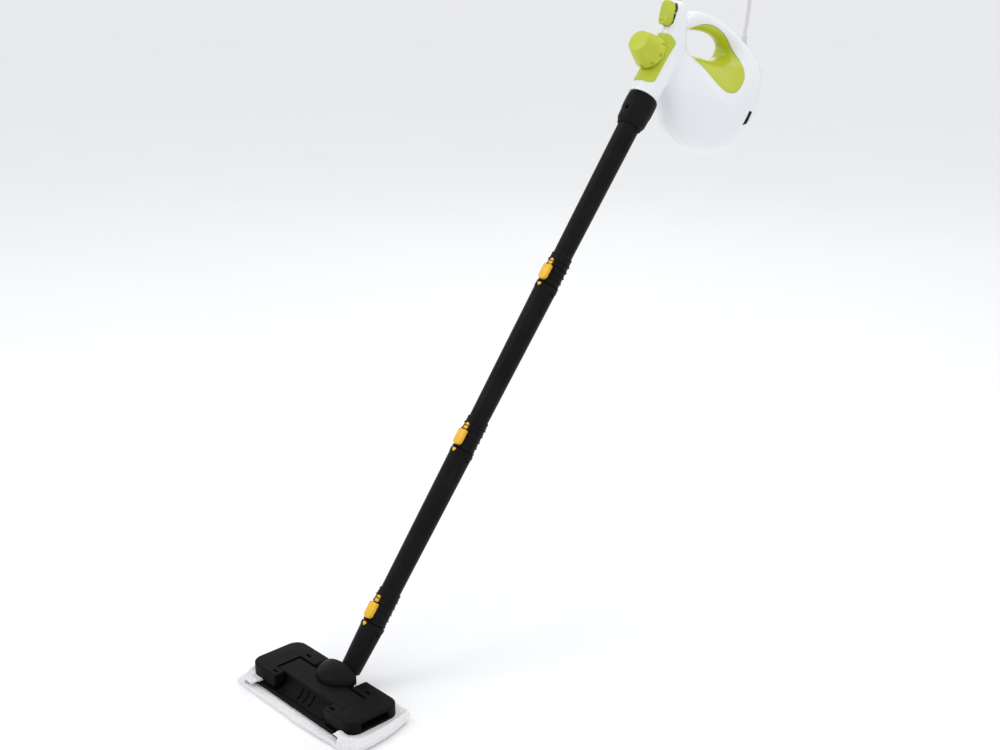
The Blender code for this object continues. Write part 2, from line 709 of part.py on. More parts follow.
def lock_parts(index, key_top):
    """Lock key, its leaf spring and the spigot seal of one joint."""
    front = pole(key_top) @ Matrix.Rotation(math.pi / 2, 4, "X")
    w, n0 = KEY_W / 2, KEY_FLOOR_N + KEY_TRAVEL + 0.5
    outline = [(w, 0), (-w, 0), (-w, -KEY_LEN + 5), (-w + 2.5, -KEY_LEN + 1.2), (-w + 5.5, -KEY_LEN),
               (w - 5.5, -KEY_LEN), (w - 2.5, -KEY_LEN + 1.2), (w, -KEY_LEN + 5)]
    key = prism("lock_key_%d" % index, outline, n0, KEY_TOP_N, front, bevel=0.9, segments=2)
    room = block("leaf_room", (-4.3, -21, n0 - 5), (4.3, -7, n0 + 2.6), front, cutter=True)
    key = boolean(key, room, "DIFFERENCE")
    finish(key, "yellow")
    f = KEY_FLOOR_N + 0.25
    leaf = [(-20.5, f), (-18, f), (-14, f + 1.5), (-10, f), (-7.5, f), (-7.5, f + 0.5), (-9.8, f + 0.55),
            (-14, f + 2.1), (-18.2, f + 0.55), (-20.5, f + 0.5)]
    turn = Matrix(((0, 0, 1, 0), (1, 0, 0, 0), (0, 1, 0, 0), (0, 0, 0, 1)))
    finish(prism("key_leaf_%d" % index, leaf, -3.6, 3.6, front @ turn), "steel")
    low = key_top - LIP_BELOW_KEY + 0.4 - SPIGOT_LEN
    r = SPIGOT_R - 1.8 + GAP
    profile = ((r + 1.1, low + 17.2), (r + 1.4, low + 16.3), (r + 1.1, low + 15.4), (r, low + 15.4),
               (r, low + 17.2))
    seal = turned("tube_seal_%d" % index, profile, pole(), closed=True)
    finish(seal, "rubber", True)


def pole_group():
    for k in range(TUBE_COUNT):
        key_top = LOCK_FIRST + LOCK_PITCH * k
        end = key_top + LOCK_PITCH - LIP_BELOW_KEY
        if k == TUBE_COUNT - 1:
            end = UNIT_START - 41.0
        name = "tube_%d" % (k + 1)
        body = turned(name, tube_profile(key_top, end), pole(), closed=True)
        front = pole(key_top) @ Matrix.Rotation(math.pi / 2, 4, "X")
        w = KEY_W / 2 + GAP
        pocket = block("key_pocket", (-w, -KEY_LEN - GAP, KEY_FLOOR_N), (w, GAP, 40), front, cutter=True)
        body = boolean(body, pocket, "DIFFERENCE")
        finish(body, "black", True)
        lock_parts(k + 1, key_top)
    s = UNIT_START
    profile = ((20.5, s + 12), (22.0, s + 10), (22.0, s - 0.4), (26.8, s - 0.4), (28.0, s - 4),
               (28.0, s - 27), (27.0, s - 32), (26.5, s - 46), (25.8, s - 51), (22.6, s - 59.6),
               (21.8, s - 61), (21.1, s - 61), (21.1, s - 40.6), (SPIGOT_R, s - 40.6),
               (SPIGOT_R, s - 68), (BORE_R, s - 68), (BORE_R, s + 12))
    collar = turned("pole_collar", profile, pole(), 24, closed=True)
    hole = block("collar_hole", (-3.5, -3.5, 24.0), (3.5, 3.5, 40), pole(s - 37) @ Matrix.Rotation(
        math.pi / 2, 4, "X"), cutter=True)
    collar = boolean(collar, hole, "DIFFERENCE")
    finish(collar, "black", True)


# ------------------------------------------------------------------ floor head
def neck_group():
    """Lowest pole piece with its hinge tongue, the hinge pin, yoke, post and dome."""
    end = LOCK_FIRST - LIP_BELOW_KEY
    profile = ((0, 64), (BORE_R, 64), (BORE_R, end - SPIGOT_LEN - 4), (MOUTH_R, end - SPIGOT_LEN - 3),
               (MOUTH_R, end), (LIP_R, end), (LIP_R, end - 7), (TUBE_R_TOP, end - 9), (17.4, 47), (16.9, 44),
               (15.2, 42.4), (0, 42.4))
    neck = turned("neck_tube", profile, pole())
    tongue = block("tongue", (-10.8, -8.3, NECK_S), (10.8, 8.3, 55), pole(), cutter=True)
    eye = turned("tongue_eye", ((0, 10.8), (8.3, 10.8), (8.3, -10.8), (0, -10.8)),
                 pole(NECK_S) @ Matrix.Rotation(math.pi / 2, 4, "Y"), 20, True)
    tongue = boolean(tongue, eye, "UNION")
    hole = turned("pin_hole", ((0, 40), (2.8, 40), (2.8, -40), (0, -40)),
                  pole(NECK_S) @ Matrix.Rotation(math.pi / 2, 4, "Y"), 16, True)
    neck = boolean(neck, tongue, "UNION")
    neck = boolean(neck, copy(hole, "pin_hole_b"), "DIFFERENCE")
    finish(neck, "black", True)
    pin = turned("neck_pin", ((0, 16.5), (2.5, 16.5), (2.5, -16.5), (0, -16.5)),
                 pole(NECK_S) @ Matrix.Rotation(math.pi / 2, 4, "Y"), 16)
    finish(pin, "steel", True)
    py = POLE_Y + NECK_S * SIN
    pz = NECK_S * COS
    yoke = turned("yoke", ((0, 19), (12.5, 19), (12.5, BASE_Z1 + GAP), (0, BASE_Z1 + GAP)),
                  at(0, SWIVEL_Y, 0), 24)
    for x0 in (-15.4, 11.2):
        cheek = block("cheek", (x0, 36, 14.2), (x0 + 4.2, py + 2, 26), UP, cutter=True)
        ear = turned("ear", ((0, x0 + 4.2), (7.2, x0 + 4.2), (7.2, x0), (0, x0)),
                     at(0, py, pz, ry=math.pi / 2), 18, True)
        cheek = boolean(cheek, ear, "UNION")
        yoke = boolean(yoke, cheek, "UNION")
    foot = block("yoke_foot", (-15.4, 31, 14.2), (15.4, 42, 18.6), UP, cutter=True)
    yoke = boolean(yoke, foot, "UNION")
    yoke = boolean(yoke, hole, "DIFFERENCE")
    hole = turned("swivel_hole", ((0, 17.4), (4.3, 17.4), (4.3, 10), (0, 10)), at(0, SWIVEL_Y, 0), 16, True)
    yoke = boolean(yoke, hole, "DIFFERENCE")
    finish(yoke, "black")
    post = turned("swivel_post", ((0, 17), (4, 17), (4, BASE_Z0 + 0.4), (0, BASE_Z0 + 0.4)),
                  at(0, SWIVEL_Y, 0), 16)
    finish(post, "steel", True)
    pts, inner = [], []
    for k in range(7):
        a = math.radians(90 - 15 * k)
        pts.append((DOME_R * math.cos(a) if k else 0.0, DOME_H * math.sin(a)))
        inner.append(((DOME_R - 2.2) * math.cos(a) if k else 0.0, (DOME_H - 2.2) * math.sin(a)))
    dome = turned("dome_cover", pts + inner[::-1], at(0, DOME_Y, DOME_Z), 28)
    slot = block("dome_slot", (-60, 0, -60), (60, 60, 60), at(0, 42.4, 50, rx=DOME_CUT), cutter=True)
    dome = boolean(dome, slot, "DIFFERENCE")
    boss = turned("dome_boss", ((0, 52.2), (4.2, 52.2), (4.2, 19.3), (0, 19.3)), at(0, 29.0, 0), 12, True)
    dome = boolean(dome, boss, "UNION")
    finish(dome, "black", True)


def wing_outline(side_sign, inset=0.0):
    """Plan of a clamp, or of the hollow inside it when inset."""
    x0, x1, y0, y1 = WING_X0, WING_X1 - inset, WING_Y0 + inset, WING_Y1 - inset
    if inset:
        x0 = CORE_X + WING_GAP + inset
    r = WING_CORNER - inset
    xb = x0 if inset else WING_BACK_X
    out = [(xb, y1 - 3), (xb, -10), (x0, -10), (x0, y0 + 3), (x0 + 3, y0)]
    for k in range(6):
        a = math.radians(-90 + 18 * k)
        out.append((x1 - r + r * math.cos(a), y0 + r + r * math.sin(a)))
    for k in range(6):
        a = math.radians(18 * k)
        out.append((x1 - r + r * math.cos(a), y1 - r + r * math.sin(a)))
    out.append((xb + 3, y1))
    out = [(side_sign * x, y) for x, y in out]
    return out if side_sign > 0 else out[::-1]


def wing(name, sgn):
    """Cloth clamp: C-shaped end of the head, hinged near its inner edge."""
    def span(x0, x1, y0, y1, z0, z1):
        a, b = sorted((sgn * x0, sgn * x1))
        return block("wing_cut", (a, y0, z0), (b, y1, z1), UP, cutter=True)
    body = prism(name, wing_outline(sgn), WING_Z0, WING_Z1, UP, bevel=1.4, segments=2)
    cuts = (
        (0, CORE_X + WING_GAP, CORE_Y0 - 2.2, CORE_Y1 + 2.2, 0, 60),
        (FOLD_X - 1.5, WING_X1 + 9, WING_Y0 - 9, WING_Y1 + 9, 0, FOLD_TOP + 0.5),
        (WING_X1 - 10, WING_X1 + 9, -25, 29, 22.4, 34.2),
        (WING_BACK_X - 9, WING_X0 - 1, 0, WING_Y1 + 9, 0, WING_BACK_Z),
        (71, 83, -37.2, -32.4, WING_Z1 - 3, 60),
        (73, 85, 30.4, 35.2, WING_Z1 - 3, 60),
    )
    for cut in cuts:
        body = boolean(body, span(*cut), "DIFFERENCE")
    outline = wing_outline(sgn, 4.0)
    body = boolean(body, prism("wing_void", outline, 0, WING_Z1 - 3.6, UP, True), "DIFFERENCE")
    hole = turned("wing_pin_hole", ((0, 42), (PIN_R + GAP, 42), (PIN_R + GAP, -47), (0, -47)),
                  at(sgn * WING_AXIS_X, 0, WING_AXIS_Z, rx=math.pi / 2), 12, True)
    body = boolean(body, hole, "DIFFERENCE")
    finish(body, "black", True)
    pin = turned("wing_pin_" + name[-1:], ((0, 41.5), (PIN_R, 41.5), (PIN_R, -46.5), (0, -46.5)),
                 at(sgn * WING_AXIS_X, 0, WING_AXIS_Z, rx=math.pi / 2), 12)
    pin.name = "clamp_pin_left" if sgn < 0 else "clamp_pin_right"
    finish(pin, "steel", True)


def head_group():
    base = block("head_base", (-BASE_X, BASE_Y0, BASE_Z0), (BASE_X, BASE_Y1, BASE_Z1), UP, bevel=1.5,
                 segments=1)
    hole = turned("post_hole", ((0, 40), (4.3, 40), (4.3, BASE_Z0 - 5), (0, BASE_Z0 - 5)),
                  at(0, SWIVEL_Y, 0), 16, True)
    base = boolean(base, hole, "DIFFERENCE")
    finish(base, "black")
    z0 = BASE_Z1 + GAP
    core = block("head_core", (-CORE_X, CORE_Y0, z0), (CORE_X, CORE_Y1, CORE_TOP), UP, bevel=0.8, segments=1)
    apron = ((-20, z0), (-43, z0), (-43, z0 + 0.8), (-34, 17.2), (-28, 22), (-24.8, 28),
             (-23.2, CORE_TOP - 1), (-20, CORE_TOP - 1))
    core = boolean(core, prism("apron", apron[::-1], -59, 59, side(), True), "UNION")
    for x in (-15, 0, 15):
        rib = ((-21, z0 + 0.5), (-41, z0 + 0.5), (-39, 17.5), (-33, 20), (-28.2, 25), (-26, 31), (-21, 33))
        core = boolean(core, prism("rib", rib[::-1], x - 0.8, x + 0.8, side(), True), "UNION")
    for sgn in (-1, 1):
        hole = turned("core_pin_hole", ((0, 60), (PIN_R + GAP, 60), (PIN_R + GAP, -60), (0, -60)),
                      at(sgn * WING_AXIS_X, 0, WING_AXIS_Z, rx=math.pi / 2), 12, True)
        core = boolean(core, hole, "DIFFERENCE")
    finish(core, "black")
    wing("cloth_clamp_left", -1)
    wing("cloth_clamp_right", 1)
    x = CLOTH_X
    right = [(x - 7, 0), (x - 2.2, 2.2), (x, 8), (x - 0.4, 14), (x - 1.8, 18.6), (x - 3.8, 20.6),
             (x - 5.6, 19.8), (x - 6.2, FOLD_TOP), (FOLD_X, FOLD_TOP), (FOLD_X, BASE_Z1 + 0.4),
             (BASE_X + 0.6, BASE_Z1 + 0.4),
             (BASE_X + 1.6, BASE_Z1 - 1.5), (BASE_X + 1.6, CLOTH_T + 1.8), (BASE_X + 0.4, CLOTH_T)]
    outline = right + [(-a, b) for a, b in right[::-1]]
    frame = UP @ Matrix.Translation(Vector((0, CLOTH_Y1, 0)) * MM) @ Matrix.Rotation(math.pi / 2, 4, "X")
    cloth = prism("cloth", outline, 0, CLOTH_Y1 - CLOTH_Y0, frame)
    finish(cloth, "cloth")


def main():
    solid = hand_unit()
    bpy.data.objects.remove(solid, do_unlink=True)
    control_panel()
    steam_controls()
    boiler_group()
    rear_parts()
    cord_group()
    pole_group()
    neck_group()
    head_group()


main()
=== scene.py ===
"""Steam mop: finished surfaces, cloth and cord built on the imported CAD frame.

Sizes are in millimetres from the floor-head frame (origin on the floor under the middle
of the head) and are shifted by the grip position into the row frame, as in the CAD.
"""
import math

import bmesh
import bpy
from mathutils import Matrix, Vector, noise


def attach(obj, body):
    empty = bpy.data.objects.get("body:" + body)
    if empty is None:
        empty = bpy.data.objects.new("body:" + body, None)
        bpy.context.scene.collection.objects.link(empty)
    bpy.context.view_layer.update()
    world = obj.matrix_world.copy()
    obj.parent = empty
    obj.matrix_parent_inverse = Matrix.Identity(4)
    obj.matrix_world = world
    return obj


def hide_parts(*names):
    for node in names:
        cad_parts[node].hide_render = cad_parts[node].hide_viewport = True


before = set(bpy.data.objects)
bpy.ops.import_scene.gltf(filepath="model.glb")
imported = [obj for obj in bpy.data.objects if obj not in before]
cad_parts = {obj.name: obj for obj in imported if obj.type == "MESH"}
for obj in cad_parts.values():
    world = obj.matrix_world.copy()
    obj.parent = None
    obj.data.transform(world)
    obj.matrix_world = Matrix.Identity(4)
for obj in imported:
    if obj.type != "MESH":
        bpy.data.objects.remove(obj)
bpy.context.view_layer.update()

MM = 0.001
GRIP = (0.0, 905.5, 1022.7)
LEAN = math.radians(38.42)
POLE_Y = 30.4
SIN, COS = math.sin(LEAN), math.cos(LEAN)
UP = Matrix.Translation(Vector(GRIP) * -MM)
FLOOR = -GRIP[2] * MM

LOCK_FIRST = 159.6
LOCK_PITCH = 320.0
UNIT_START = 1153.0
TUBE_R_LOW = 17.1
TUBE_R_TOP = 19.8
LIP_R = 20.6
SPIGOT_R = 15.7
GAP = 0.3                       # clearance between pieces that touch
MOUTH_R = SPIGOT_R + GAP
BORE_R = 12.6
SPIGOT_LEN = 30.0
LIP_BELOW_KEY = 33.0
COLLAR_ABOVE_KEY = 26.5
KEY_HALF_W, KEY_LEN = 8.5, 28.0
KEY_FLOOR_N, KEY_FOOT_N, KEY_TOP_N = 14.4, 16.9, 24.8
MARK_HALF_W = 3.8               # yellow marks above the key
NECK_S = 34.47

LOOP_CENTRE = (915.0, 965.0)
SWELL = 1.03
LOOP = (
    ((850.0, 1014.0), (858.0, 1046.0), 15.5),
    ((880.0, 1014.5), (884.0, 1047.0), 16.5),
    ((917.0, 1009.0), (930.0, 1038.0), 17.5),
    ((948.0, 997.0), (975.0, 1017.0), 20.5),
    ((966.0, 982.0), (1014.0, 991.0), 28.0),
    ((969.0, 968.0), (1048.0, 949.0), 42.0),
    ((958.0, 960.0), (1059.0, 891.0), 55.0),
    ((940.0, 958.0), (1033.0, 822.0), 61.0),
    ((920.0, 960.0), (974.0, 792.0), 63.0),
    ((900.0, 965.0), (908.0, 792.0), 63.0),
    ((881.0, 970.0), (840.0, 818.0), 58.0),
    ((864.0, 971.0), (799.0, 876.0), 44.0),
    ((845.0, 985.0), (802.0, 946.0), 24.0),
    ((840.0, 1003.0), (815.0, 1003.0), 13.0),
)
COLUMN = (
    ((695.7, 882.7), (738.5, 848.7), 27.3),
    ((714.0, 906.0), (756.8, 872.0), 27.3),
    ((724.5, 923.6), (766.0, 890.6), 27.3),
    ((748.5, 951.0), (789.0, 915.0), 27.6),
    ((770.5, 978.5), (815.0, 938.0), 28.6),
    ((791.5, 1006.0), (850.0, 974.0), 26.0),
    ((806.0, 1034.0), (849.5, 1012.0), 20.5),
    ((817.5, 1061.0), (851.5, 1052.0), 16.5),
    ((824.0, 1068.5), (847.5, 1066.5), 11.5),
)
INLAY = (
    (853.0, 1012.0), (866.0, 1021.5), (891.0, 1026.0), (920.0, 1021.5), (949.0, 1006.0),
    (971.0, 982.0), (979.0, 955.0), (971.0, 926.0), (943.0, 906.0), (914.0, 906.0),
    (890.0, 921.0), (872.0, 944.0), (859.0, 968.0), (855.0, 990.0),
)
SIDES = 20
SPREAD = 1.018
CREASE = (
    (848, 1012), (848, 992), (851, 970), (861, 940), (878, 912), (902, 890), (932, 870), (962, 848),
)
CREASE_HEIGHT = 1.7
CREASE_HALF_W = 3.5             # the step's rise is spread this far to both sides
CREASE_FADE = 20.0              # and it dies away over this distance behind it
SLOT = ((966.5, 842), (984.7, 843), (995.8, 864.5), (982.0, 868))
SLOT_LINING = ((967.0, 842.5), (984.4, 843.4), (995.4, 864.2), (982.2, 867.4))

CAP_AXIS_UP = math.radians(33.5)
CAP_Y, CAP_Z = 771.5, 974.5
CAP_BASE_R, CAP_TIP_R, CAP_LEN = 31.0, 20.5, 52.0
CAP_LOW = 10.5
BUTTON_LEAN = math.radians(17.0)
BUTTON_Y, BUTTON_Z = 810.5, 1045.0
BUTTON_LEN, BUTTON_W, BUTTON_PROUD = 43.0, 21.5, 17.0

CORD_R = 3.5
CORD_EXIT_Y, CORD_EXIT_Z = 1036.0, 962.0
CORD_DOWN_Y = 950.5
COIL_X, COIL_Y, COIL_Z = -92.0, 995.0, 884.0
COIL_R = (44.5, 37.3, 30.1)
COIL_TURNS = 3.75
COIL_PITCH = 7.25

CORE_X = 86.5
CORE_Y0, CORE_Y1 = -22.5, 20.5
WING_X0, WING_X1 = 66.0, 136.0
WING_BACK_Z = 26.0
WING_Y0, WING_Y1 = -45.0, 53.0
WING_Z0, WING_Z1 = 15.2, 38.4
WING_GAP = 2.2
WING_CORNER = 21.0
WING_AXIS_X, WING_AXIS_Z = 71.0, 30.5
BASE_X, BASE_Z1 = 121.0, 13.4
CLOTH_X = 143.0
CLOTH_Y0, CLOTH_Y1 = -65.0, 68.0
CLOTH_T = 6.1
FOLD_X = 101.0
FOLD_TOP = 17.9
ROLL_BULGE, ROLL_BULGE_Y = 13.0, -20.0
FRONT_HEM_LIFT = 2.3
DOME_Y, DOME_R, DOME_H, DOME_Z = 44.0, 44.0, 17.5, 37.2
DOME_CUT = math.radians(-22.0)
DOME_CLEAR = 4.5                # room for the hood between the clamps' back arms
WING_BACK_X = DOME_R + DOME_CLEAR


# ------------------------------------------------------------------ frames and meshes
def pole(s=0.0, n=0.0):
    """Frame on the pole: local Z up the pole, local -Y towards the front."""
    y = POLE_Y + s * SIN - n * COS
    z = s * COS + n * SIN
    return UP @ Matrix.Translation(Vector((0, y, z)) * MM) @ Matrix.Rotation(-LEAN, 4, "X")


def pole_face(s):
    """Frame on the pole: local Y up it, local Z out of its front."""
    return pole(s) @ Matrix.Rotation(math.pi / 2, 4, "X")


def at(x=0.0, y=0.0, z=0.0, rx=0.0, ry=0.0, rz=0.0):
    turn = Matrix.Rotation(rz, 4, "Z") @ Matrix.Rotation(ry, 4, "Y") @ Matrix.Rotation(rx, 4, "X")
    return UP @ Matrix.Translation(Vector((x, y, z)) * MM) @ turn


def side(y=0.0, z=0.0):
    """Frame whose local X, Y, Z run along Y, Z, X."""
    turn = Matrix(((0, 0, 1, 0), (1, 0, 0, 0), (0, 1, 0, 0), (0, 0, 0, 1)))
    return UP @ Matrix.Translation(Vector((0, y, z)) * MM) @ turn


def cap_frame():
    return at(0, CAP_Y, CAP_Z, rx=math.pi / 2 - CAP_AXIS_UP)


def button_frame():
    return at(0, BUTTON_Y, BUTTON_Z, rx=math.pi / 2 - BUTTON_LEAN)


def add(name, data, place=UP):
    obj = bpy.data.objects.new(name, data)
    obj.matrix_world = place
    bpy.context.scene.collection.objects.link(obj)
    return obj


def mesh_from(name, verts, faces):
    mesh = bpy.data.meshes.new(name)
    mesh.from_pydata([Vector(v) * MM for v in verts], [], faces)
    mesh.update()
    return mesh


def bake(obj):
    """Replace the object's mesh by its evaluated one."""
    bpy.context.view_layer.update()
    graph = bpy.context.evaluated_depsgraph_get()
    mesh = bpy.data.meshes.new_from_object(obj.evaluated_get(graph))
    obj.modifiers.clear()
    obj.data = mesh
    return obj


def modify(obj, kind, **settings):
    mod = obj.modifiers.new(kind.lower(), kind)
    for key, value in settings.items():
        setattr(mod, key, value)
    return bake(obj)


def fair(obj):
    """Weld the mesh and point its faces outwards."""
    bm = bmesh.new()
    bm.from_mesh(obj.data)
    bmesh.ops.remove_doubles(bm, verts=bm.verts, dist=0.005 * MM)
    bmesh.ops.recalc_face_normals(bm, faces=bm.faces)
    bm.to_mesh(obj.data)
    bm.free()
    return obj


def carve(obj, other, kind="DIFFERENCE", keep=False):
    modify(obj, "BOOLEAN", object=other, operation=kind, solver="EXACT", material_mode="TRANSFER")
    if not keep:
        bpy.data.objects.remove(other, do_unlink=True)
    return obj


def prism(name, outline, depth0, depth1, place, bevel=0.0, segments=3, angle=50):
    """Outline in local X-Y pushed from depth0 to depth1 along local Z."""
    n = len(outline)
    verts = [(x, y, depth0) for x, y in outline] + [(x, y, depth1) for x, y in outline]
    faces = [tuple(range(n - 1, -1, -1)), tuple(range(n, 2 * n))]
    faces += [(i, (i + 1) % n, n + (i + 1) % n, n + i) for i in range(n)]
    obj = fair(add(name, mesh_from(name, verts, faces), place))
    if bevel:
        modify(obj, "BEVEL", width=bevel * MM, segments=segments, limit_method="ANGLE",
               angle_limit=math.radians(angle))
    return obj


def block(name, lo, hi, place=UP, bevel=0.0, segments=3):
    outline = [(hi[0], lo[1]), (hi[0], hi[1]), (lo[0], hi[1]), (lo[0], lo[1])]
    return prism(name, outline, lo[2], hi[2], place, bevel, segments)


def turned(name, profile, place, steps=72, closed=False):
    """Body of revolution about local Z from (radius, height) pairs."""
    verts = [(r, 0.0, h) for r, h in profile]
    edges = [(i, i + 1) for i in range(len(verts) - 1)]
    if closed:
        edges.append((len(verts) - 1, 0))
    mesh = bpy.data.meshes.new(name)
    mesh.from_pydata([Vector(v) * MM for v in verts], edges, [])
    obj = add(name, mesh, place)
    modify(obj, "SCREW", axis="Z", steps=steps, render_steps=steps, use_merge_vertices=True,
           merge_threshold=0.00001)
    return fair(obj)


def smooth_outline(points, per_side=8):
    """Closed Catmull-Rom curve through the points."""
    out = []
    count = len(points)
    for i in range(count):
        p0, p1, p2, p3 = (Vector(points[(i + k - 1) % count]) for k in range(4))
        for j in range(per_side):
            t = j / per_side
            out.append(tuple(0.5 * ((2 * p1) + (p2 - p0) * t + (2 * p0 - 5 * p1 + 4 * p2 - p3) * t * t
                                    + (3 * p1 - p0 - 3 * p2 + p3) * t ** 3)))
    return out


def rounded(x0, y0, x1, y1, r, per=8):
    """Rounded rectangle outline."""
    out = []
    for cx, cy, a0 in ((x1 - r, y0 + r, -90), (x1 - r, y1 - r, 0), (x0 + r, y1 - r, 90),
                       (x0 + r, y0 + r, 180)):
        for k in range(per + 1):
            a = math.radians(a0 + 90 * k / per)
            out.append((cx + r * math.cos(a), cy + r * math.sin(a)))
    return out


def soften(obj, angle=32):
    """Smooth shading with crisp edges where the faces meet at more than the angle."""
    obj.data.polygons.foreach_set("use_smooth", [True] * len(obj.data.polygons))
    obj.data.set_sharp_from_angle(angle=math.radians(angle))
    return obj


# ------------------------------------------------------------------ materials
class Look:
    """One procedural material being wired."""

    def __init__(self, name):
        self.mat = bpy.data.materials.new(name)
        self.mat.use_nodes = True
        self.tree = self.mat.node_tree
        self.shader = self.tree.nodes["Principled BSDF"]
        self.coord = self.new("ShaderNodeTexCoord").outputs["Object"]

    def new(self, kind, **settings):
        node = self.tree.nodes.new(kind)
        for key, value in settings.items():
            setattr(node, key, value)
        return node

    def link(self, out, socket):
        self.tree.links.new(out, socket)

    def stretched(self, scale):
        node = self.new("ShaderNodeMapping")
        node.inputs["Scale"].default_value = scale
        self.link(self.coord, node.inputs["Vector"])
        return node.outputs["Vector"]

    def noise(self, scale, detail=3.0, rough=0.5, vector=None):
        node = self.new("ShaderNodeTexNoise")
        node.inputs["Scale"].default_value = scale
        node.inputs["Detail"].default_value = detail
        node.inputs["Roughness"].default_value = rough
        self.link(vector or self.coord, node.inputs["Vector"])
        return node.outputs["Fac"]

    def cells(self, scale, feature="F1", vector=None):
        node = self.new("ShaderNodeTexVoronoi", feature=feature)
        node.inputs["Scale"].default_value = scale
        self.link(vector or self.coord, node.inputs["Vector"])
        return node.outputs["Distance"]

    def span(self, value, a, b, c, d):
        node = self.new("ShaderNodeMapRange")
        for key, number in zip(("From Min", "From Max", "To Min", "To Max"), (a, b, c, d)):
            node.inputs[key].default_value = number
        self.link(value, node.inputs["Value"])
        return node.outputs["Result"]

    def mix(self, value, a, b):
        node = self.new("ShaderNodeMix", data_type="RGBA")
        self.link(value, node.inputs[0])
        for socket, tone in ((node.inputs[6], a), (node.inputs[7], b)):
            if isinstance(tone, tuple):
                socket.default_value = (*tone, 1.0)
            else:
                self.link(tone, socket)
        return node.outputs[2]

    def bump(self, height, depth, normal=None, strength=1.0):
        node = self.new("ShaderNodeBump")
        node.inputs["Strength"].default_value = strength
        node.inputs["Distance"].default_value = depth
        self.link(height, node.inputs["Height"])
        if normal:
            self.link(normal, node.inputs["Normal"])
        return node.outputs["Normal"]

    def edges(self, radius):
        """(rounded normal, how much of an edge is near)"""
        bevel = self.new("ShaderNodeBevel", samples=4)
        bevel.inputs["Radius"].default_value = radius
        geometry = self.new("ShaderNodeNewGeometry")
        dot = self.new("ShaderNodeVectorMath", operation="DOT_PRODUCT")
        self.link(bevel.outputs["Normal"], dot.inputs[0])
        self.link(geometry.outputs["Normal"], dot.inputs[1])
        return bevel.outputs["Normal"], self.span(dot.outputs["Value"], 1.0, 0.75, 0.0, 1.0)

    def put(self, **sockets):
        names = {"color": "Base Color", "rough": "Roughness", "metal": "Metallic", "normal": "Normal",
                 "coat": "Coat Weight", "coat_rough": "Coat Roughness", "sheen": "Sheen Weight",
                 "level": "Specular IOR Level", "sub": "Subsurface Weight", "sub_scale": "Subsurface Scale"}
        for key, value in sockets.items():
            socket = self.shader.inputs[names[key]]
            if isinstance(value, (int, float)):
                socket.default_value = value
            else:
                self.link(value, socket)
        return self.mat


def gloss_white():
    look = Look("gloss_white_abs")
    normal, _ = look.edges(0.0006)
    tone = look.mix(look.span(look.noise(9.0, 2.0), 0.35, 0.7, 0, 1), (0.80, 0.815, 0.84),
                    (0.765, 0.78, 0.81))
    dust = look.span(look.noise(420.0, 5.0, 0.7), 0.62, 0.8, 0.0, 1.0)
    tone = look.mix(dust, tone, (0.72, 0.73, 0.75))
    rough = look.span(look.noise(55.0, 4.0), 0.3, 0.75, 0.17, 0.27)
    wave = look.bump(look.noise(70.0, 1.0), 0.00006, normal)
    return look.put(color=tone, rough=rough, coat=0.25, coat_rough=0.08,
                    normal=look.bump(look.noise(1500.0, 2.0), 0.000006, wave), sub=0.02, sub_scale=0.003)


def lime_plastic(name, rough, grain, depth):
    look = Look(name)
    normal, edge = look.edges(0.0005)
    tone = look.mix(look.span(look.noise(18.0, 3.0), 0.35, 0.7, 0, 1), (0.50, 0.555, 0.028),
                    (0.44, 0.50, 0.022))
    # painted highlight: the colour turns lighter near edges, standing in for the light caught on the
    # rounded rims
    tone = look.mix(look.span(edge, 0.0, 1.0, 0.0, 0.35), tone, (0.62, 0.66, 0.10))
    shine = look.span(look.noise(110.0, 4.0), 0.3, 0.75, rough - 0.05, rough + 0.08)
    return look.put(color=tone, rough=shine, normal=look.bump(look.noise(grain, 3.0, 0.6), depth, normal))


def black_plastic(name, rough, grain, depth, tone_a, tone_b, edge_highlight=0.3):
    look = Look(name)
    normal, edge = look.edges(0.0005)
    tone = look.mix(look.span(look.noise(22.0, 4.0), 0.35, 0.7, 0, 1), tone_a, tone_b)
    scuff = look.span(look.noise(60.0, 6.0, 0.75, look.stretched((1.0, 6.0, 1.0))), 0.64, 0.8, 0.0, 0.5)
    tone = look.mix(scuff, tone, (0.016, 0.016, 0.0165))
    # painted highlight: the colour turns lighter near edges, standing in for the light caught on the rims
    tone = look.mix(look.span(edge, 0.0, 1.0, 0.0, edge_highlight), tone, (0.035, 0.035, 0.037))
    shine = look.span(look.noise(140.0, 5.0, 0.65), 0.3, 0.75, rough - 0.07, rough + 0.1)
    return look.put(color=tone, rough=shine, level=0.07,
                    normal=look.bump(look.noise(grain, 4.0, 0.65), depth, normal))


def yellow_plastic():
    look = Look("yellow_key_plastic")
    normal, edge = look.edges(0.0005)
    tone = look.mix(look.span(look.noise(40.0, 3.0), 0.35, 0.7, 0, 1), (0.83, 0.47, 0.012),
                    (0.75, 0.40, 0.010))
    # painted highlight: the colour turns lighter near edges, standing in for the light caught on the
    # rounded rims
    tone = look.mix(look.span(edge, 0.0, 1.0, 0.0, 0.3), tone, (0.95, 0.64, 0.08))
    return look.put(color=tone, rough=look.span(look.noise(180.0, 3.0), 0.3, 0.7, 0.28, 0.42),
                    normal=look.bump(look.noise(1700.0, 3.0), 0.00002, normal))


def metal(name, a, b, rough, scale, depth, stretch=(1.0, 1.0, 1.0)):
    look = Look(name)
    grain = look.noise(scale, 4.0, 0.6, look.stretched(stretch))
    tone = look.mix(look.span(look.noise(30.0, 4.0), 0.35, 0.7, 0, 1), a, b)
    return look.put(color=tone, rough=look.span(grain, 0.25, 0.75, rough - 0.08, rough + 0.14), metal=1.0,
                    normal=look.bump(grain, depth))


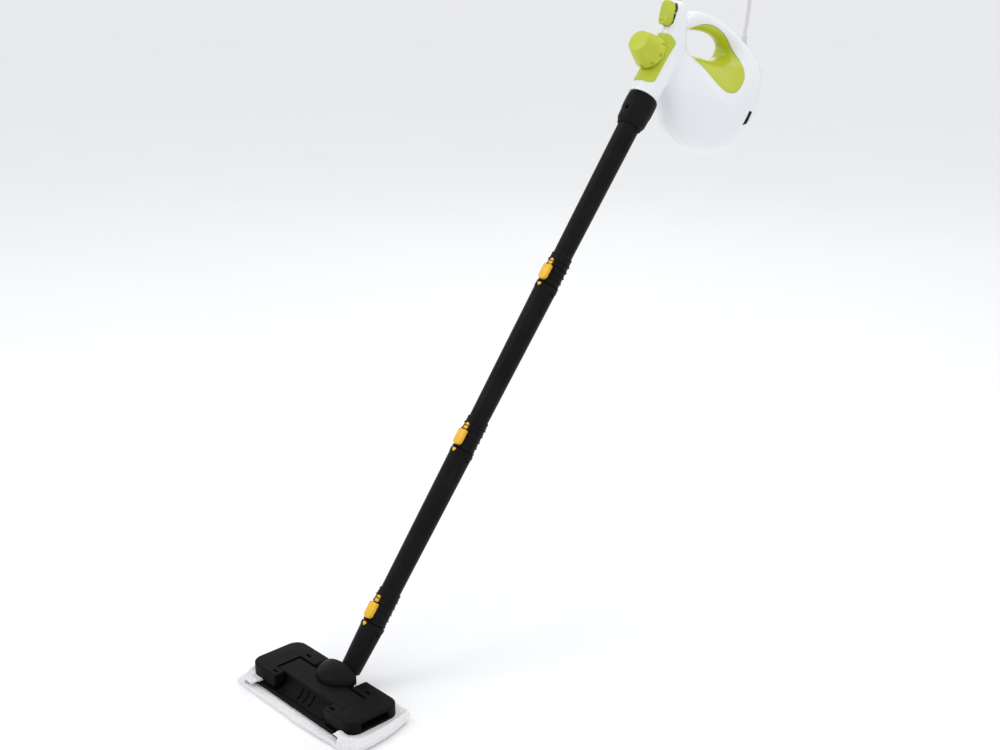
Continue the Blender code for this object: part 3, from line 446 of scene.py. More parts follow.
def cast_metal():
    look = Look("cast_aluminium")
    pits = look.span(look.cells(420.0), 0.0, 0.35, 0.0, 1.0)
    skin = look.bump(look.noise(240.0, 5.0, 0.7), 0.00025)
    tone = look.mix(look.noise(35.0, 5.0, 0.7), (0.46, 0.46, 0.45), (0.66, 0.66, 0.65))
    return look.put(color=tone, rough=look.span(look.noise(90.0, 4.0), 0.3, 0.7, 0.42, 0.62), metal=0.9,
                    normal=look.bump(pits, 0.00012, skin))


def rubber(name, a, b, rough, sub=0.0):
    look = Look(name)
    tone = look.mix(look.noise(60.0, 4.0), a, b)
    fine = look.bump(look.noise(1300.0, 4.0, 0.7), 0.00004)
    return look.put(color=tone, rough=look.span(look.noise(200.0, 4.0), 0.3, 0.7, rough - 0.08,
                                                rough + 0.08),
                    normal=look.bump(look.noise(160.0, 2.0), 0.00008, fine), sub=sub, sub_scale=0.002)


def terry():
    look = Look("terry_cloth")
    swirl = look.new("ShaderNodeMapping")
    swirl.inputs["Scale"].default_value = (1.0, 1.35, 1.0)
    look.link(look.coord, swirl.inputs["Vector"])
    loops = look.cells(330.0, "SMOOTH_F1", swirl.outputs["Vector"])
    fibres = look.noise(1900.0, 5.0, 0.75)
    clumps = look.noise(120.0, 4.0, 0.6)
    # painted shade: darker in the hollows between the loops, lighter on their tops
    tone = look.mix(look.span(loops, 0.15, 0.62, 0.0, 1.0), (0.80, 0.787, 0.80), (0.70, 0.685, 0.70))
    tone = look.mix(look.span(clumps, 0.3, 0.7, 0.0, 0.4), tone, (0.84, 0.828, 0.84))
    tone = look.mix(look.span(fibres, 0.35, 0.75, 0.0, 0.3), tone, (0.88, 0.87, 0.88))
    height = look.span(loops, 0.0, 0.7, 1.0, 0.0)
    normal = look.bump(height, 0.0004, look.bump(clumps, 0.0005))
    return look.put(color=tone, rough=0.97, sheen=0.35, level=0.2,
                    normal=look.bump(fibres, 0.00025, normal), sub=0.12, sub_scale=0.006)


LOOKS = {
    "white": gloss_white(),
    "lime": lime_plastic("lime_satin", 0.36, 1400.0, 0.00002),
    "lime_gloss": lime_plastic("lime_gloss", 0.24, 700.0, 0.00001),
    "black": black_plastic("black_moulded", 0.47, 1500.0, 0.00005, (0.0024, 0.0024, 0.0025),
                           (0.0042, 0.0042, 0.0043)),
    "tube": black_plastic("black_tube", 0.42, 2100.0, 0.00003, (0.005, 0.005, 0.0056),
                          (0.0085, 0.0085, 0.0094)),
    "dome": black_plastic("black_dome", 0.44, 1800.0, 0.00004, (0.0032, 0.0032, 0.0037),
                          (0.005, 0.005, 0.0057)),
    "dark": black_plastic("black_insert", 0.7, 900.0, 0.00008, (0.003, 0.003, 0.003),
                          (0.006, 0.006, 0.006), 0.1),
    "yellow": yellow_plastic(),
    "rubber": rubber("black_rubber", (0.016, 0.016, 0.016), (0.03, 0.03, 0.03), 0.68),
    "steel": metal("brushed_steel", (0.52, 0.52, 0.53), (0.64, 0.64, 0.65), 0.3, 500.0, 0.00003,
                   (1, 1, 0.04)),
    "brass": metal("turned_brass", (0.66, 0.44, 0.17), (0.78, 0.56, 0.26), 0.28, 700.0, 0.00003,
                   (0.1, 0.1, 1)),
    "alloy": cast_metal(),
    "hose": rubber("silicone_hose", (0.70, 0.68, 0.62), (0.80, 0.78, 0.73), 0.45, 0.2),
    "cord": rubber("white_cord_jacket", (0.60, 0.59, 0.60), (0.68, 0.67, 0.68), 0.45, 0.03),
    "cloth": terry(),
}
NODE_LOOKS = {
    "white": ("housing_left", "housing_right", "rear_cover"),
    "lime": ("grip_inlay", "control_plate", "cap_seat", "safety_cap", "steam_button"),
    "brass": ("filler_tube", "steam_valve", "steam_nozzle", "plug_pin_1", "plug_pin_2"),
    "rubber": ("cap_seal", "tube_seal_1", "tube_seal_2", "tube_seal_3", "coil_tie"),
    "steel": ("button_spring", "heater_ring", "thermostat", "key_leaf_1", "key_leaf_2", "key_leaf_3",
              "neck_pin",
              "swivel_post", "clamp_pin_left", "clamp_pin_right"),
    "hose": ("steam_pipe_up", "steam_pipe_down"),
    "alloy": ("boiler",),
    "dark": ("slot_insert",),
    "cord": ("cord_gland", "cord", "cord_coil", "plug"),
    "tube": ("pole_collar", "tube_1", "tube_2", "tube_3", "neck_tube"),
    "yellow": ("lock_key_1", "lock_key_2", "lock_key_3"),
    "black": ("yoke", "head_base", "head_core", "cloth_clamp_left", "cloth_clamp_right"),
    "dome": ("dome_cover",),
    "cloth": ("cloth",),
}


def dress(obj, look):
    obj.data.materials.clear()
    obj.data.materials.append(LOOKS[look])
    return obj


def dress_nodes():
    """Every CAD node takes its procedural material."""
    for look, names in NODE_LOOKS.items():
        for name in names:
            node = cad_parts[name]
            for slot in node.material_slots:
                slot.material = LOOKS[look]


def piece(obj, body, look, *nodes, angle=32):
    """A finished piece rides on its body and stands for the CAD nodes named."""
    dress(obj, look)
    if obj.type == "MESH":
        soften(obj, angle)
    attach(obj, body)
    if nodes:
        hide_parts(*nodes)
    return obj


# ------------------------------------------------------------------ camera, lights, floor
def studio():
    camera = bpy.data.cameras.new("camera")
    camera.lens = 46.8
    camera.sensor_width = 36.0
    camera.sensor_fit = "HORIZONTAL"
    obj = add("camera", camera, Matrix.Identity(4))
    forward = Vector((-0.68912, 0.65624, -0.30736))
    turn = forward.to_track_quat("-Z", "Y").to_matrix().to_4x4()
    obj.matrix_world = Matrix.Translation((1.52271, -1.95985, 0.12204)) @ turn
    bpy.context.scene.camera = obj

    mesh = bpy.data.meshes.new("floor")
    size = 90.0
    mesh.from_pydata([(-size, -size, FLOOR), (size, -size, FLOOR), (size, size, FLOOR),
                      (-size, size, FLOOR)], [],
                     [(0, 1, 2, 3)])
    floor = add("floor", mesh, Matrix.Identity(4))
    look = Look("studio_floor")
    tone = look.mix(look.noise(1.5, 2.0), (0.93, 0.93, 0.935), (0.90, 0.90, 0.905))
    floor.data.materials.append(look.put(color=tone, rough=0.75, level=0.1))

    world = bpy.data.worlds.new("studio")
    bpy.context.scene.world = world
    world.use_nodes = True
    back = world.node_tree.nodes["Background"]
    back.inputs["Color"].default_value = (0.98, 0.99, 1.0, 1.0)
    back.inputs["Strength"].default_value = 0.9
    lights = (
        ("key_light", (-1.6, -2.6, 2.4), (1.8, 1.8), 26.0),
        ("fill_light", (2.8, -1.2, 1.0), (1.6, 2.2), 5.0),
        ("top_light", (0.4, 0.6, 2.8), (2.4, 2.4), 22.0),
        ("rim_light", (-2.0, 2.2, 1.4), (1.2, 2.0), 6.0),
    )
    for name, place, area, power in lights:
        data = bpy.data.lights.new(name, "AREA")
        data.shape = "RECTANGLE"
        data.size, data.size_y = area
        data.energy = power
        lamp = add(name, data, Matrix.Identity(4))
        aim = (Vector((0.0, -0.3, -0.4)) - Vector(place)).to_track_quat("-Z", "Y")
        lamp.matrix_world = Matrix.Translation(place) @ aim.to_matrix().to_4x4()
    bpy.context.scene.view_settings.view_transform = "Standard"


# ------------------------------------------------------------------ cord
def cord_run():
    """The CAD route: up out of the relief, over, and down to the coil."""
    z0, top = CORD_EXIT_Z + 40.0, 1062.0
    pts = []
    for k in range(5):
        t = k / 4
        pts.append((0.0, CORD_EXIT_Y + 15.0 * t - 5.0 * t * t, z0 + (top - z0) * t))
    y0 = CORD_EXIT_Y + 10.0
    for k in range(1, 13):
        a = math.pi * k / 12
        u = (1 - math.cos(a)) / 2
        pts.append((COIL_X * u, y0 + (CORD_DOWN_Y - y0) * u, top + 34.0 * math.sin(a)))
    low = COIL_Z + 6.0
    for k in range(1, 9):
        pts.append((COIL_X, CORD_DOWN_Y, top + (low - top) * k / 8))
    return pts


def coil_points(per_turn=28):
    """Layers wound side by side, the outer one first, each a diameter inside the last."""
    pts = []
    half = (COIL_TURNS - 0.25) * COIL_PITCH / 2
    total = int(per_turn * COIL_TURNS)
    start = 0.0
    for layer, radius in enumerate(COIL_R):
        sign = 1 if layer % 2 == 0 else -1
        after = COIL_R[layer + 1] if layer + 1 < len(COIL_R) else radius
        for k in range(total):
            t = k / total
            a = start + 2 * math.pi * COIL_TURNS * t
            ease = max(0.0, (t - 1 + 0.3 / COIL_TURNS) / (0.3 / COIL_TURNS))
            r = radius + (after - radius) * ease * ease * (3 - 2 * ease)
            lead = min(1.0, t * COIL_TURNS / 0.5)
            x = COIL_X - sign * half * (1 - 2 * min(1.0, t * COIL_TURNS / (COIL_TURNS - 0.25)))
            if layer == 0:
                x = COIL_X * (1 - lead) + x * lead
            pts.append((x, COIL_Y - r * math.cos(a), COIL_Z - r * math.sin(a)))
        start += 2 * math.pi * COIL_TURNS
    return pts


def cord():
    pts = cord_run() + coil_points()
    curve = bpy.data.curves.new("mains_cord", "CURVE")
    curve.dimensions = "3D"
    curve.bevel_depth = CORD_R * MM
    curve.bevel_resolution = 4
    curve.use_fill_caps = True
    line = curve.splines.new("POLY")
    line.points.add(len(pts) - 1)
    for p, co in zip(line.points, pts):
        p.co = (*(Vector(co) * MM), 1.0)
    line.use_smooth = True
    obj = add("mains_cord", curve)
    curve.materials.append(LOOKS["cord"])
    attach(obj, "unit")
    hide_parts("cord", "cord_coil")
    return obj


studio()
dress_nodes()
cord()


# ------------------------------------------------------------------ hand unit
def section(inner, outer, half_width, inset=0.0):
    a, b = Vector(inner), Vector(outer)
    mid = (a + b) / 2
    along = (b - a) / 2
    along = along.normalized() * max(along.length - inset, 0.8)
    wide = max(half_width - inset, 0.8)
    ring = []
    for k in range(SIDES):
        t = 2 * math.pi * k / SIDES
        p = mid + along * (math.cos(t) * SPREAD)
        ring.append((math.sin(t) * wide * SPREAD, p.x, p.y))
    return ring


def lofted(name, rings, looped, levels=3):
    """Subdivided skin over a row of sections."""
    n = len(rings[0])
    verts = [p for ring in rings for p in ring]
    faces = []
    count = len(rings)
    for i in range(count if looped else count - 1):
        a, b = i * n, ((i + 1) % count) * n
        faces += [(a + k, a + (k + 1) % n, b + (k + 1) % n, b + k) for k in range(n)]
    if not looped:
        last = (count - 1) * n
        faces += [tuple(range(n)), tuple(last + n - 1 - k for k in range(n))]
    obj = fair(add(name, mesh_from(name, verts, faces)))
    return modify(obj, "SUBSURF", levels=levels, render_levels=levels)


def loop_rings(inset=0.0):
    centre = Vector(LOOP_CENTRE)
    rings = []
    for inner, outer, wide in LOOP:
        a = centre + (Vector(inner) - centre) * SWELL
        b = centre + (Vector(outer) - centre) * SWELL
        rings.append(section(a, b, wide, inset))
    return rings


def column_rings(inset=0.0):
    return [section(a, b, wide, inset) for a, b, wide in COLUMN]


def near_joint(p):
    """1 along the valley between the column and the belly, 0 away from it."""
    line = ((778, 868), (790, 895), (800, 925), (818, 955), (836, 980), (846, 1010))
    best = 1e9
    for a, b in zip(line, line[1:]):
        a, b = Vector(a), Vector(b)
        d = b - a
        t = max(0.0, min(1.0, (p - a).dot(d) / d.length_squared))
        best = min(best, (p - a - d * t).length)
    t = max(0.0, min(1.0, (34.0 - best) / 20.0))
    return t * t * (3 - 2 * t)


def crease(obj):
    """Soft ridge from the column's back edge round the belly, ahead of the inlay."""
    line = [Vector(q) for q in CREASE]
    count = len(line) - 1
    bm = bmesh.new()
    bm.from_mesh(obj.data)
    bm.normal_update()
    moves = []
    for v in bm.verts:
        p = Vector((v.co.y, v.co.z)) / MM
        best, run, sgn = 1e9, 0.0, 1.0
        for i in range(count):
            d = line[i + 1] - line[i]
            t = max(0.0, min(1.0, (p - line[i]).dot(d) / d.length_squared))
            off = p - line[i] - d * t
            if off.length < best:
                best, run = off.length, (i + t) / count
                sgn = 1.0 if d.x * off.y - d.y * off.x > 0 else -1.0
        side_d = sgn * best
        step = ease((CREASE_HALF_W - side_d) / (2 * CREASE_HALF_W))
        fade = math.exp(-(min(side_d, 0.0) / CREASE_FADE) ** 2)
        fade *= min(1.0, 3.0 * (1.0 - run)) * min(1.0, 6.0 * run)
        moves.append(CREASE_HEIGHT * step * fade if best < 60 else 0.0)
    for v, move in zip(bm.verts, moves):
        v.co += v.normal * (move * MM)
    bm.to_mesh(obj.data)
    bm.free()
    return obj


def unit_body():
    """The whole shell as one skin, the column flowing into the belly."""
    body = lofted("unit_body", loop_rings(), True)
    carve(body, lofted("unit_column", column_rings(), False), "UNION")
    modify(body, "REMESH", mode="VOXEL", voxel_size=2.0 * MM)
    group = body.vertex_groups.new(name="joint")
    for v in body.data.vertices:
        weight = near_joint(Vector((v.co.y, v.co.z)) / MM)
        if weight > 0:
            group.add([v.index], weight, "REPLACE")
    modify(body, "SMOOTH", factor=0.5, iterations=70, vertex_group="joint")
    modify(body, "SMOOTH", factor=0.5, iterations=6)
    return crease(body)


def drop_marked(obj, name):
    """Delete the faces that a cutter left, keeping the skin itself."""
    bm = bmesh.new()
    bm.from_mesh(obj.data)
    index = [i for i, m in enumerate(obj.data.materials) if m and m.name == name]
    bmesh.ops.delete(bm, geom=[f for f in bm.faces if f.material_index in index], context="FACES")
    bm.to_mesh(obj.data)
    bm.free()
    return obj


def walled(obj, thickness):
    """Give an open skin its wall."""
    return modify(obj, "SOLIDIFY", thickness=thickness * MM, offset=-1.0, use_rim=True)


def clone(obj, name):
    return add(name, obj.data.copy(), obj.matrix_world.copy())


def half(obj, sgn, gap=0.15):
    """Keep one side of the plane x = 0."""
    bm = bmesh.new()
    bm.from_mesh(obj.data)
    geom = bm.verts[:] + bm.edges[:] + bm.faces[:]
    bmesh.ops.bisect_plane(bm, geom=geom, dist=1e-7, plane_co=(sgn * gap * MM, 0, 0), plane_no=(-sgn, 0, 0),
                           clear_outer=True)
    bm.to_mesh(obj.data)
    bm.free()
    return obj


def octagon(length, width, chamfer, grow=0.0):
    w, l = width / 2 + grow, length / 2 + grow
    return [(w, -l + chamfer), (w, l - chamfer * 1.2), (w - chamfer * 0.55, l), (-w + chamfer * 0.55, l),
            (-w, l - chamfer * 1.2), (-w, -l + chamfer), (-w + chamfer * 0.5, -l), (w - chamfer * 0.5, -l)]


def hand_unit():
    mark = bpy.data.materials.new("cut_mark")
    skin_mark = bpy.data.materials.new("skin_mark")
    body = unit_body()
    body.data.materials.clear()
    body.data.materials.append(skin_mark)

    def cutter(obj):
        obj.data.materials.clear()
        obj.data.materials.append(mark)
        return obj

    carve(body, cutter(block("neck_end", (-60, -60, -80), (60, 60, 0), pole(UNIT_START))))
    outline = smooth_outline(INLAY)
    mid = Vector((sum(p[0] for p in INLAY) / len(INLAY), sum(p[1] for p in INLAY) / len(INLAY)))
    small = [tuple(Vector(p) + (mid - Vector(p)).normalized() * 0.5) for p in outline]
    inlay = clone(body, "grip_inlay_skin")
    carve(inlay, cutter(prism("inlay_keep", small, -89, 89, side())), "INTERSECT")
    drop_marked(inlay, "cut_mark")
    walled(inlay, 2.4)
    piece(inlay, "unit", "lime_gloss", "grip_inlay", angle=40)

    carve(body, cutter(prism("inlay_cut", outline, -90, 90, side())))
    carve(body, cutter(prism("button_hole", octagon(BUTTON_LEN, BUTTON_W, 8, 0.6), -14, 30,
                             button_frame())))
    lining = clone(body, "slot_lining")
    carve(lining, cutter(prism("slot_keep", SLOT_LINING, 30, 80, side())), "INTERSECT")
    lining.matrix_world = Matrix.Translation((-1.3 * MM, 0, 0)) @ lining.matrix_world
    piece(lining, "unit", "dark", "slot_insert", angle=40)
    carve(body, cutter(prism("slot_cut", SLOT, 30, 80, side())))
    drop_marked(body, "cut_mark")
    for sgn, name, node in ((-1, "housing_left_skin", "housing_left"),
                            (1, "housing_right_skin", "housing_right")):
        shell = half(clone(body, name), sgn)
        walled(shell, 2.6)
        piece(shell, "unit", "white", node, angle=40)
    bpy.data.objects.remove(body, do_unlink=True)

    outline = rounded(1012, 843, 1069, 951, 17)
    shape = []
    for y, z in outline:
        t = (z - 843) / 108
        shape.append((y - 15.0 * (1 - t) ** 2.2 * (y > 1030), z))
    cover = prism("rear_cover_shell", shape, -27, 27, side(), 7.0, 6, 40)
    piece(cover, "unit", "white", "rear_cover")


def column_offset(name, out):
    return lofted(name, column_rings(-out), False)


def control_panel():
    """Lime plate, seat ring and fluted safety cap."""
    front = pole_face(1220.0)
    plate = column_offset("plate_skin", 1.9)
    carve(plate, prism("plate_keep", rounded(-23, -48.5, 23, 48.5, 10), 4, 70, front), "INTERSECT")
    carve(plate, column_offset("plate_inner", -0.4))
    carve(plate, turned("ring_hole", ((0, 30), (20.4, 30), (20.4, -14), (0, -14)), cap_frame()))
    piece(plate, "unit", "lime", "control_plate", angle=50)
    ring = turned("seat_ring", ((18.4, 10.0), (19.4, 9.7), (20.0, 9.0), (20.0, -12), (11.4, -12),
                                (11.4, 8.4),
                                (12.5, 10.0)), cap_frame(), closed=True)
    piece(ring, "unit", "lime", "cap_seat", angle=50)

    low, tip = CAP_LOW, CAP_LEN
    slope = (CAP_BASE_R - CAP_TIP_R) / (tip - low - 6)
    profile = [(0, tip + 0.9), (9, tip + 0.85), (16.5, tip + 0.7), (18.9, tip + 0.45), (19.9, tip - 0.2),
               (20.4, tip - 1.3)]
    for k in range(1, 9):
        z = tip - 2 - (tip - low - 8) * k / 8
        profile.append((20.4 + (tip - 2 - z) * slope * 0.985 + 0.9 * math.sin(math.pi * k / 8), z))
    profile += [(CAP_BASE_R, low + 4), (CAP_BASE_R, low + 1.2), (CAP_BASE_R - 0.9, low), (17, low),
                (14, 36),
                (0, 36)]
    cap = turned("cap_body", profile, cap_frame(), 120)
    for k in range(9):
        a = math.radians(40 * k + 30)
        turn = Matrix.Rotation(a, 4, "Z") @ Matrix.Rotation(math.pi / 2, 4, "Y")
        flute = [(-low - 14.5, 0.0), (-low - 13, 1.4), (-low - 4.4, 3.2), (-low - 3.6, 2.6),
                 (-low - 3.6, -2.6),
                 (-low - 4.4, -3.2), (-low - 13, -1.4)]
        carve(cap, prism("flute", flute[::-1], CAP_BASE_R - 2.3, CAP_BASE_R + 9, cap_frame() @ turn))
    piece(cap, "cap", "lime", "safety_cap", angle=38)


def steam_button():
    place = button_frame()
    outline = [(x * 0.9, y) for x, y in octagon(BUTTON_LEN, BUTTON_W, 8)]
    button = prism("button_body", outline, -2.5, BUTTON_PROUD, place, 2.4, 5)
    recess = block("button_recess", (-4.2, -17.2, BUTTON_PROUD - 1.4), (4.2, -12.6, BUTTON_PROUD + 5),
                   place)
    carve(button, recess)
    dish = octagon(BUTTON_LEN - 17, BUTTON_W - 8.5, 4)
    dish = [(x, y + 3.4) for x, y in dish]
    carve(button, prism("button_dish", dish, BUTTON_PROUD - 0.5, BUTTON_PROUD + 5, place))
    for k in range(7):
        y = -6.6 + 3.3 * k
        w = 5.2 if 0 < k < 6 else 4.0
        rib = block("button_rib", (-w, y - 0.75, BUTTON_PROUD - 1.2), (w, y + 0.75, BUTTON_PROUD + 0.1),
                    place,
                    0.35, 2)
        carve(button, rib, "UNION")
    piece(button, "button", "lime", "steam_button", angle=35)


# ------------------------------------------------------------------ pole
def tube_profile(key_top, end):
    """One tube: rounded lip at `end`, ribbed collar at its key."""
    lip = key_top - LIP_BELOW_KEY
    low = lip + 0.4 - SPIGOT_LEN
    top = key_top + COLLAR_ABOVE_KEY
    pts = [(LIP_R - 0.5, end), (LIP_R, end - 0.6), (LIP_R, end - 6.2), (LIP_R - 0.3, end - 7.2),
           (TUBE_R_TOP + 0.1, end - 8.4), (TUBE_R_TOP - 0.05, end - 10), (TUBE_R_LOW + 0.05, top + 3.4),
           (TUBE_R_LOW + 0.2, top + 1.8), (18.6, top + 0.5), (19.1, top - 0.3), (19.1, top - 2.4)]
    z = top - 3.0
    for _ in range(5):
        pts += [(18.5, z), (18.6, z - 1.0), (19.2, z - 8.2), (20.4, z - 9.0), (20.6, z - 9.5),
                (20.4, z - 10.0),
                (18.5, z - 10.3)]
        z -= 11.0
    pts += [(19.2, z + 0.2), (19.3, lip + 1.2), (19.0, lip + 0.8), (SPIGOT_R, lip + 0.5)]
    pts += [(SPIGOT_R, low + 18), (SPIGOT_R - 1.8, low + 17.6), (SPIGOT_R - 1.8, low + 15),
            (SPIGOT_R, low + 14.6)]
    pts += [(SPIGOT_R - 0.6, low), (BORE_R, low), (BORE_R, end - SPIGOT_LEN - 4)]
    pts += [(MOUTH_R, end - SPIGOT_LEN - 3), (MOUTH_R, end)]
    return pts


def radius_at(s, end, bottom):
    """Outer radius of a tube's taper, under its lip."""
    t = (end - 10 - s) / (end - 10 - bottom)
    return TUBE_R_TOP - 0.05 - (TUBE_R_TOP - TUBE_R_LOW - 0.1) * t


def side_pads(index, end, bottom, tube):
    """Raised pads outlined by a groove on both sides of a tube, under its lip."""
    for sgn, tag in ((-1, "left"), (1, "right")):
        face = pole(end) @ Matrix.Rotation(sgn * math.pi / 2, 4, "Z") @ Matrix.Rotation(math.pi / 2, 4, "X")
        top, foot = -8.8, -52.0
        rings = [(radius_at(end + h, end, bottom) + 0.5, h) for h in (top, foot)]
        back = [(r - 2.0, h) for r, h in rings[::-1]]
        pad = turned("tube_pad_%d_%s" % (index, tag), rings + back, pole(end), 96, closed=True)
        carve(pad, prism("pad_keep", rounded(-6.6, foot + 2, 6.6, top + 8, 3.4), 5, 40, face), "INTERSECT")
        carve(pad, block("pad_window", (-3.6, -15.0, 5), (3.6, -11.4, 40), face))
        piece(pad, "unit", "tube", angle=40)
        low_r = radius_at(end + foot, end, bottom) - 1.0
        carve(tube, prism("pad_groove", rounded(-7.6, foot + 1, 7.6, top + 0.6, 4.2), low_r, 40, face))


def yellow_marks(index, key_top):
    """Painted lugs: square and half-round above the key, teardrop on the lip below."""
    face = pole_face(key_top)
    w = MARK_HALF_W
    square = prism("mark_square_%d" % index, [(w, 2.2), (w, 7.8), (-w, 7.8), (-w, 2.2)], 16, 20.6,
                   face, 0.5, 2)
    piece(square, "unit", "yellow")
    arc = [math.radians(18 * k) for k in range(1, 10)]
    dome = [(w, 9.4)] + [(w * math.cos(a), 9.4 + 4.8 * math.sin(a)) for a in arc] + [(-w, 9.4)]
    piece(prism("mark_round_%d" % index, dome, 15.5, 20.2, face, 0.5, 2), "unit", "yellow")
    y0 = -LIP_BELOW_KEY
    drop = [(3.0, y0 - 0.8), (-3.0, y0 - 0.8), (-3.9, y0 - 2.6), (-3.4, y0 - 4.6),
            (0.0, y0 - 7.8), (3.4, y0 - 4.6), (3.9, y0 - 2.6)]
    piece(prism("mark_drop_%d" % index, drop[::-1], 17.5, 21.2, face, 0.4, 2), "unit", "yellow")


def pole_group():
    for k in range(3):
        key_top = LOCK_FIRST + LOCK_PITCH * k
        w, l = KEY_HALF_W, KEY_LEN
        end = key_top + LOCK_PITCH - LIP_BELOW_KEY
        if k == 2:
            end = UNIT_START - 41.0
        index = k + 1
        body = turned("tube_%d_body" % index, tube_profile(key_top, end), pole(), 72, closed=True)
        face = pole_face(key_top)
        carve(body, block("key_pocket", (-w - GAP, -l - GAP, KEY_FLOOR_N), (w + GAP, GAP, 40), face))
        carve(body, block("mark_pocket", (-5.4, 0.9, 17.4), (5.4, 15.6, 40), face, 0.6, 2))
        bottom = key_top + COLLAR_ABOVE_KEY + 3.4
        side_pads(index, end if k < 2 else end - 14, bottom, body)
        piece(body, "unit", "tube", "tube_%d" % index, angle=38)
        outline = [(w, 0), (-w, 0), (-w, -l + 6), (-w + 1.0, -l + 3.4), (-w + 2.8, -l + 1.2),
                   (-w + 6.0, -l),
                   (w - 6.0, -l), (w - 2.8, -l + 1.2), (w - 1.0, -l + 3.4), (w, -l + 6)]
        key = prism("key_%d_body" % index, outline, KEY_FOOT_N, KEY_TOP_N, face, 1.5, 4, 60)
        carve(key, block("leaf_room", (-4.3, -21, KEY_FOOT_N - 5), (4.3, -7, KEY_FOOT_N + 2.6), face))
        piece(key, "key_%d" % index, "yellow", "lock_key_%d" % index, angle=40)
        yellow_marks(index, key_top)
    s = UNIT_START
    profile = ((20.5, s + 12), (22.0, s + 10), (22.0, s - 0.4), (26.2, s - 0.4), (27.2, s - 1.6),
               (27.9, s - 4),
               (28.2, s - 12), (28.2, s - 15.4), (27.75, s - 15.8), (27.75, s - 16.8), (28.2, s - 17.2),
               (28.1, s - 27), (27.8, s - 31.6), (27.1, s - 32.2), (26.9, s - 36), (26.5, s - 46),
               (26.0, s - 51),
               (24.6, s - 54.4), (23.9, s - 54.8), (22.6, s - 59.6), (21.9, s - 60.8), (21.1, s - 61),
               (21.1, s - 40.6),
               (SPIGOT_R, s - 40.6), (SPIGOT_R, s - 68), (BORE_R, s - 68), (BORE_R, s + 12))
    collar = turned("collar_body", profile, pole(), 96, closed=True)
    carve(collar, block("collar_hole", (-3.2, -3.2, 22.6), (3.2, 3.2, 40), pole_face(s - 36)))
    piece(collar, "unit", "tube", "pole_collar", angle=35)
    end = LOCK_FIRST - LIP_BELOW_KEY
    profile = ((0, 64), (BORE_R, 64), (BORE_R, end - SPIGOT_LEN - 4), (MOUTH_R, end - SPIGOT_LEN - 3),
               (MOUTH_R, end), (LIP_R - 0.5, end), (LIP_R, end - 0.6), (LIP_R, end - 6.4),
               (LIP_R - 0.4, end - 7.4),
               (TUBE_R_TOP, end - 9), (17.5, 47), (17.2, 45), (16.6, 43.4), (15.2, 42.4), (0, 42.4))
    neck = turned("neck_body", profile, pole(), 72)
    tongue = block("tongue", (-10.8, -8.3, NECK_S), (10.8, 8.3, 55), pole())
    eye = turned("tongue_eye", ((0, 10.8), (8.3, 10.8), (8.3, -10.8), (0, -10.8)),
                 pole(NECK_S) @ Matrix.Rotation(math.pi / 2, 4, "Y"), 48)
    carve(tongue, eye, "UNION")
    hole = turned("pin_hole", ((0, 40), (2.8, 40), (2.8, -40), (0, -40)),
                  pole(NECK_S) @ Matrix.Rotation(math.pi / 2, 4, "Y"), 32)
    carve(neck, tongue, "UNION")
    carve(neck, hole)
    side_pads(0, end, 47, neck)
    piece(neck, "unit", "tube", "neck_tube", angle=38)


# ------------------------------------------------------------------ floor head
def wing_outline(sgn, inset=0.0):
    x0, x1, y0, y1 = WING_X0, WING_X1 - inset, WING_Y0 + inset, WING_Y1 - inset
    if inset:
        x0 = CORE_X + WING_GAP + inset
    r = WING_CORNER - inset
    xb = x0 if inset else WING_BACK_X
    out = [(xb, y1 - 3), (xb, -10), (x0, -10), (x0, y0 + 3), (x0 + 0.9, y0 + 0.9), (x0 + 3, y0)]
    for k in range(13):
        a = math.radians(-90 + 7.5 * k)
        out.append((x1 - r + r * math.cos(a), y0 + r + r * math.sin(a)))
    for k in range(13):
        a = math.radians(7.5 * k)
        out.append((x1 - r + r * math.cos(a), y1 - r + r * math.sin(a)))
    out += [(xb + 3, y1), (xb + 0.9, y1 - 0.9)]
    out = [(sgn * x, y) for x, y in out]
    return out if sgn > 0 else out[::-1]


def clamp(name, node, body_name, sgn):
    """C-shaped cloth clamp with its slots and faint top grooves."""
    def span(x0, x1, y0, y1, z0, z1):
        a, b = sorted((sgn * x0, sgn * x1))
        return block("clamp_cut", (a, y0, z0), (b, y1, z1))
    body = prism(name, wing_outline(sgn), WING_Z0, WING_Z1, UP, 2.2, 4)
    cuts = (
        (0, CORE_X + WING_GAP, CORE_Y0 - 2.2, CORE_Y1 + 2.2, 0, 60),
        (99.5, WING_X1 + 9, WING_Y0 - 9, WING_Y1 + 9, 0, FOLD_TOP + 0.5),
        (WING_X1 - 10, WING_X1 + 9, -25, 29, 22.4, 34.2),
        (WING_BACK_X - 9, WING_X0 - 1, 0, WING_Y1 + 9, 0, WING_BACK_Z),
        (71, 83, -37.2, -32.4, WING_Z1 - 3, 60),
        (73, 85, 30.4, 35.2, WING_Z1 - 3, 60),
        (108.2, 108.8, -24, 24, WING_Z1 - 0.35, 60),
        (112.2, 112.8, -22, 22, WING_Z1 - 0.35, 60),
    )
    for cut in cuts:
        carve(body, span(*cut))
    carve(body, prism("clamp_void", wing_outline(sgn, 4.0), 0, WING_Z1 - 3.6, UP))
    hole = turned("clamp_hole", ((0, 42), (2.0, 42), (2.0, -47), (0, -47)),
                  at(sgn * WING_AXIS_X, 0, WING_AXIS_Z, rx=math.pi / 2), 24)
    carve(body, hole)
    piece(body, body_name, "black", node, angle=30)
    pocket = span(116, WING_X1 - 3.2, -27, 31, 20.2, 35.6)
    pocket.name = name.replace("body", "pocket")
    carve(pocket, span(117.2, WING_X1 + 5, -25.8, 29.8, 21.4, 34.6))
    piece(pocket, body_name, "dark")


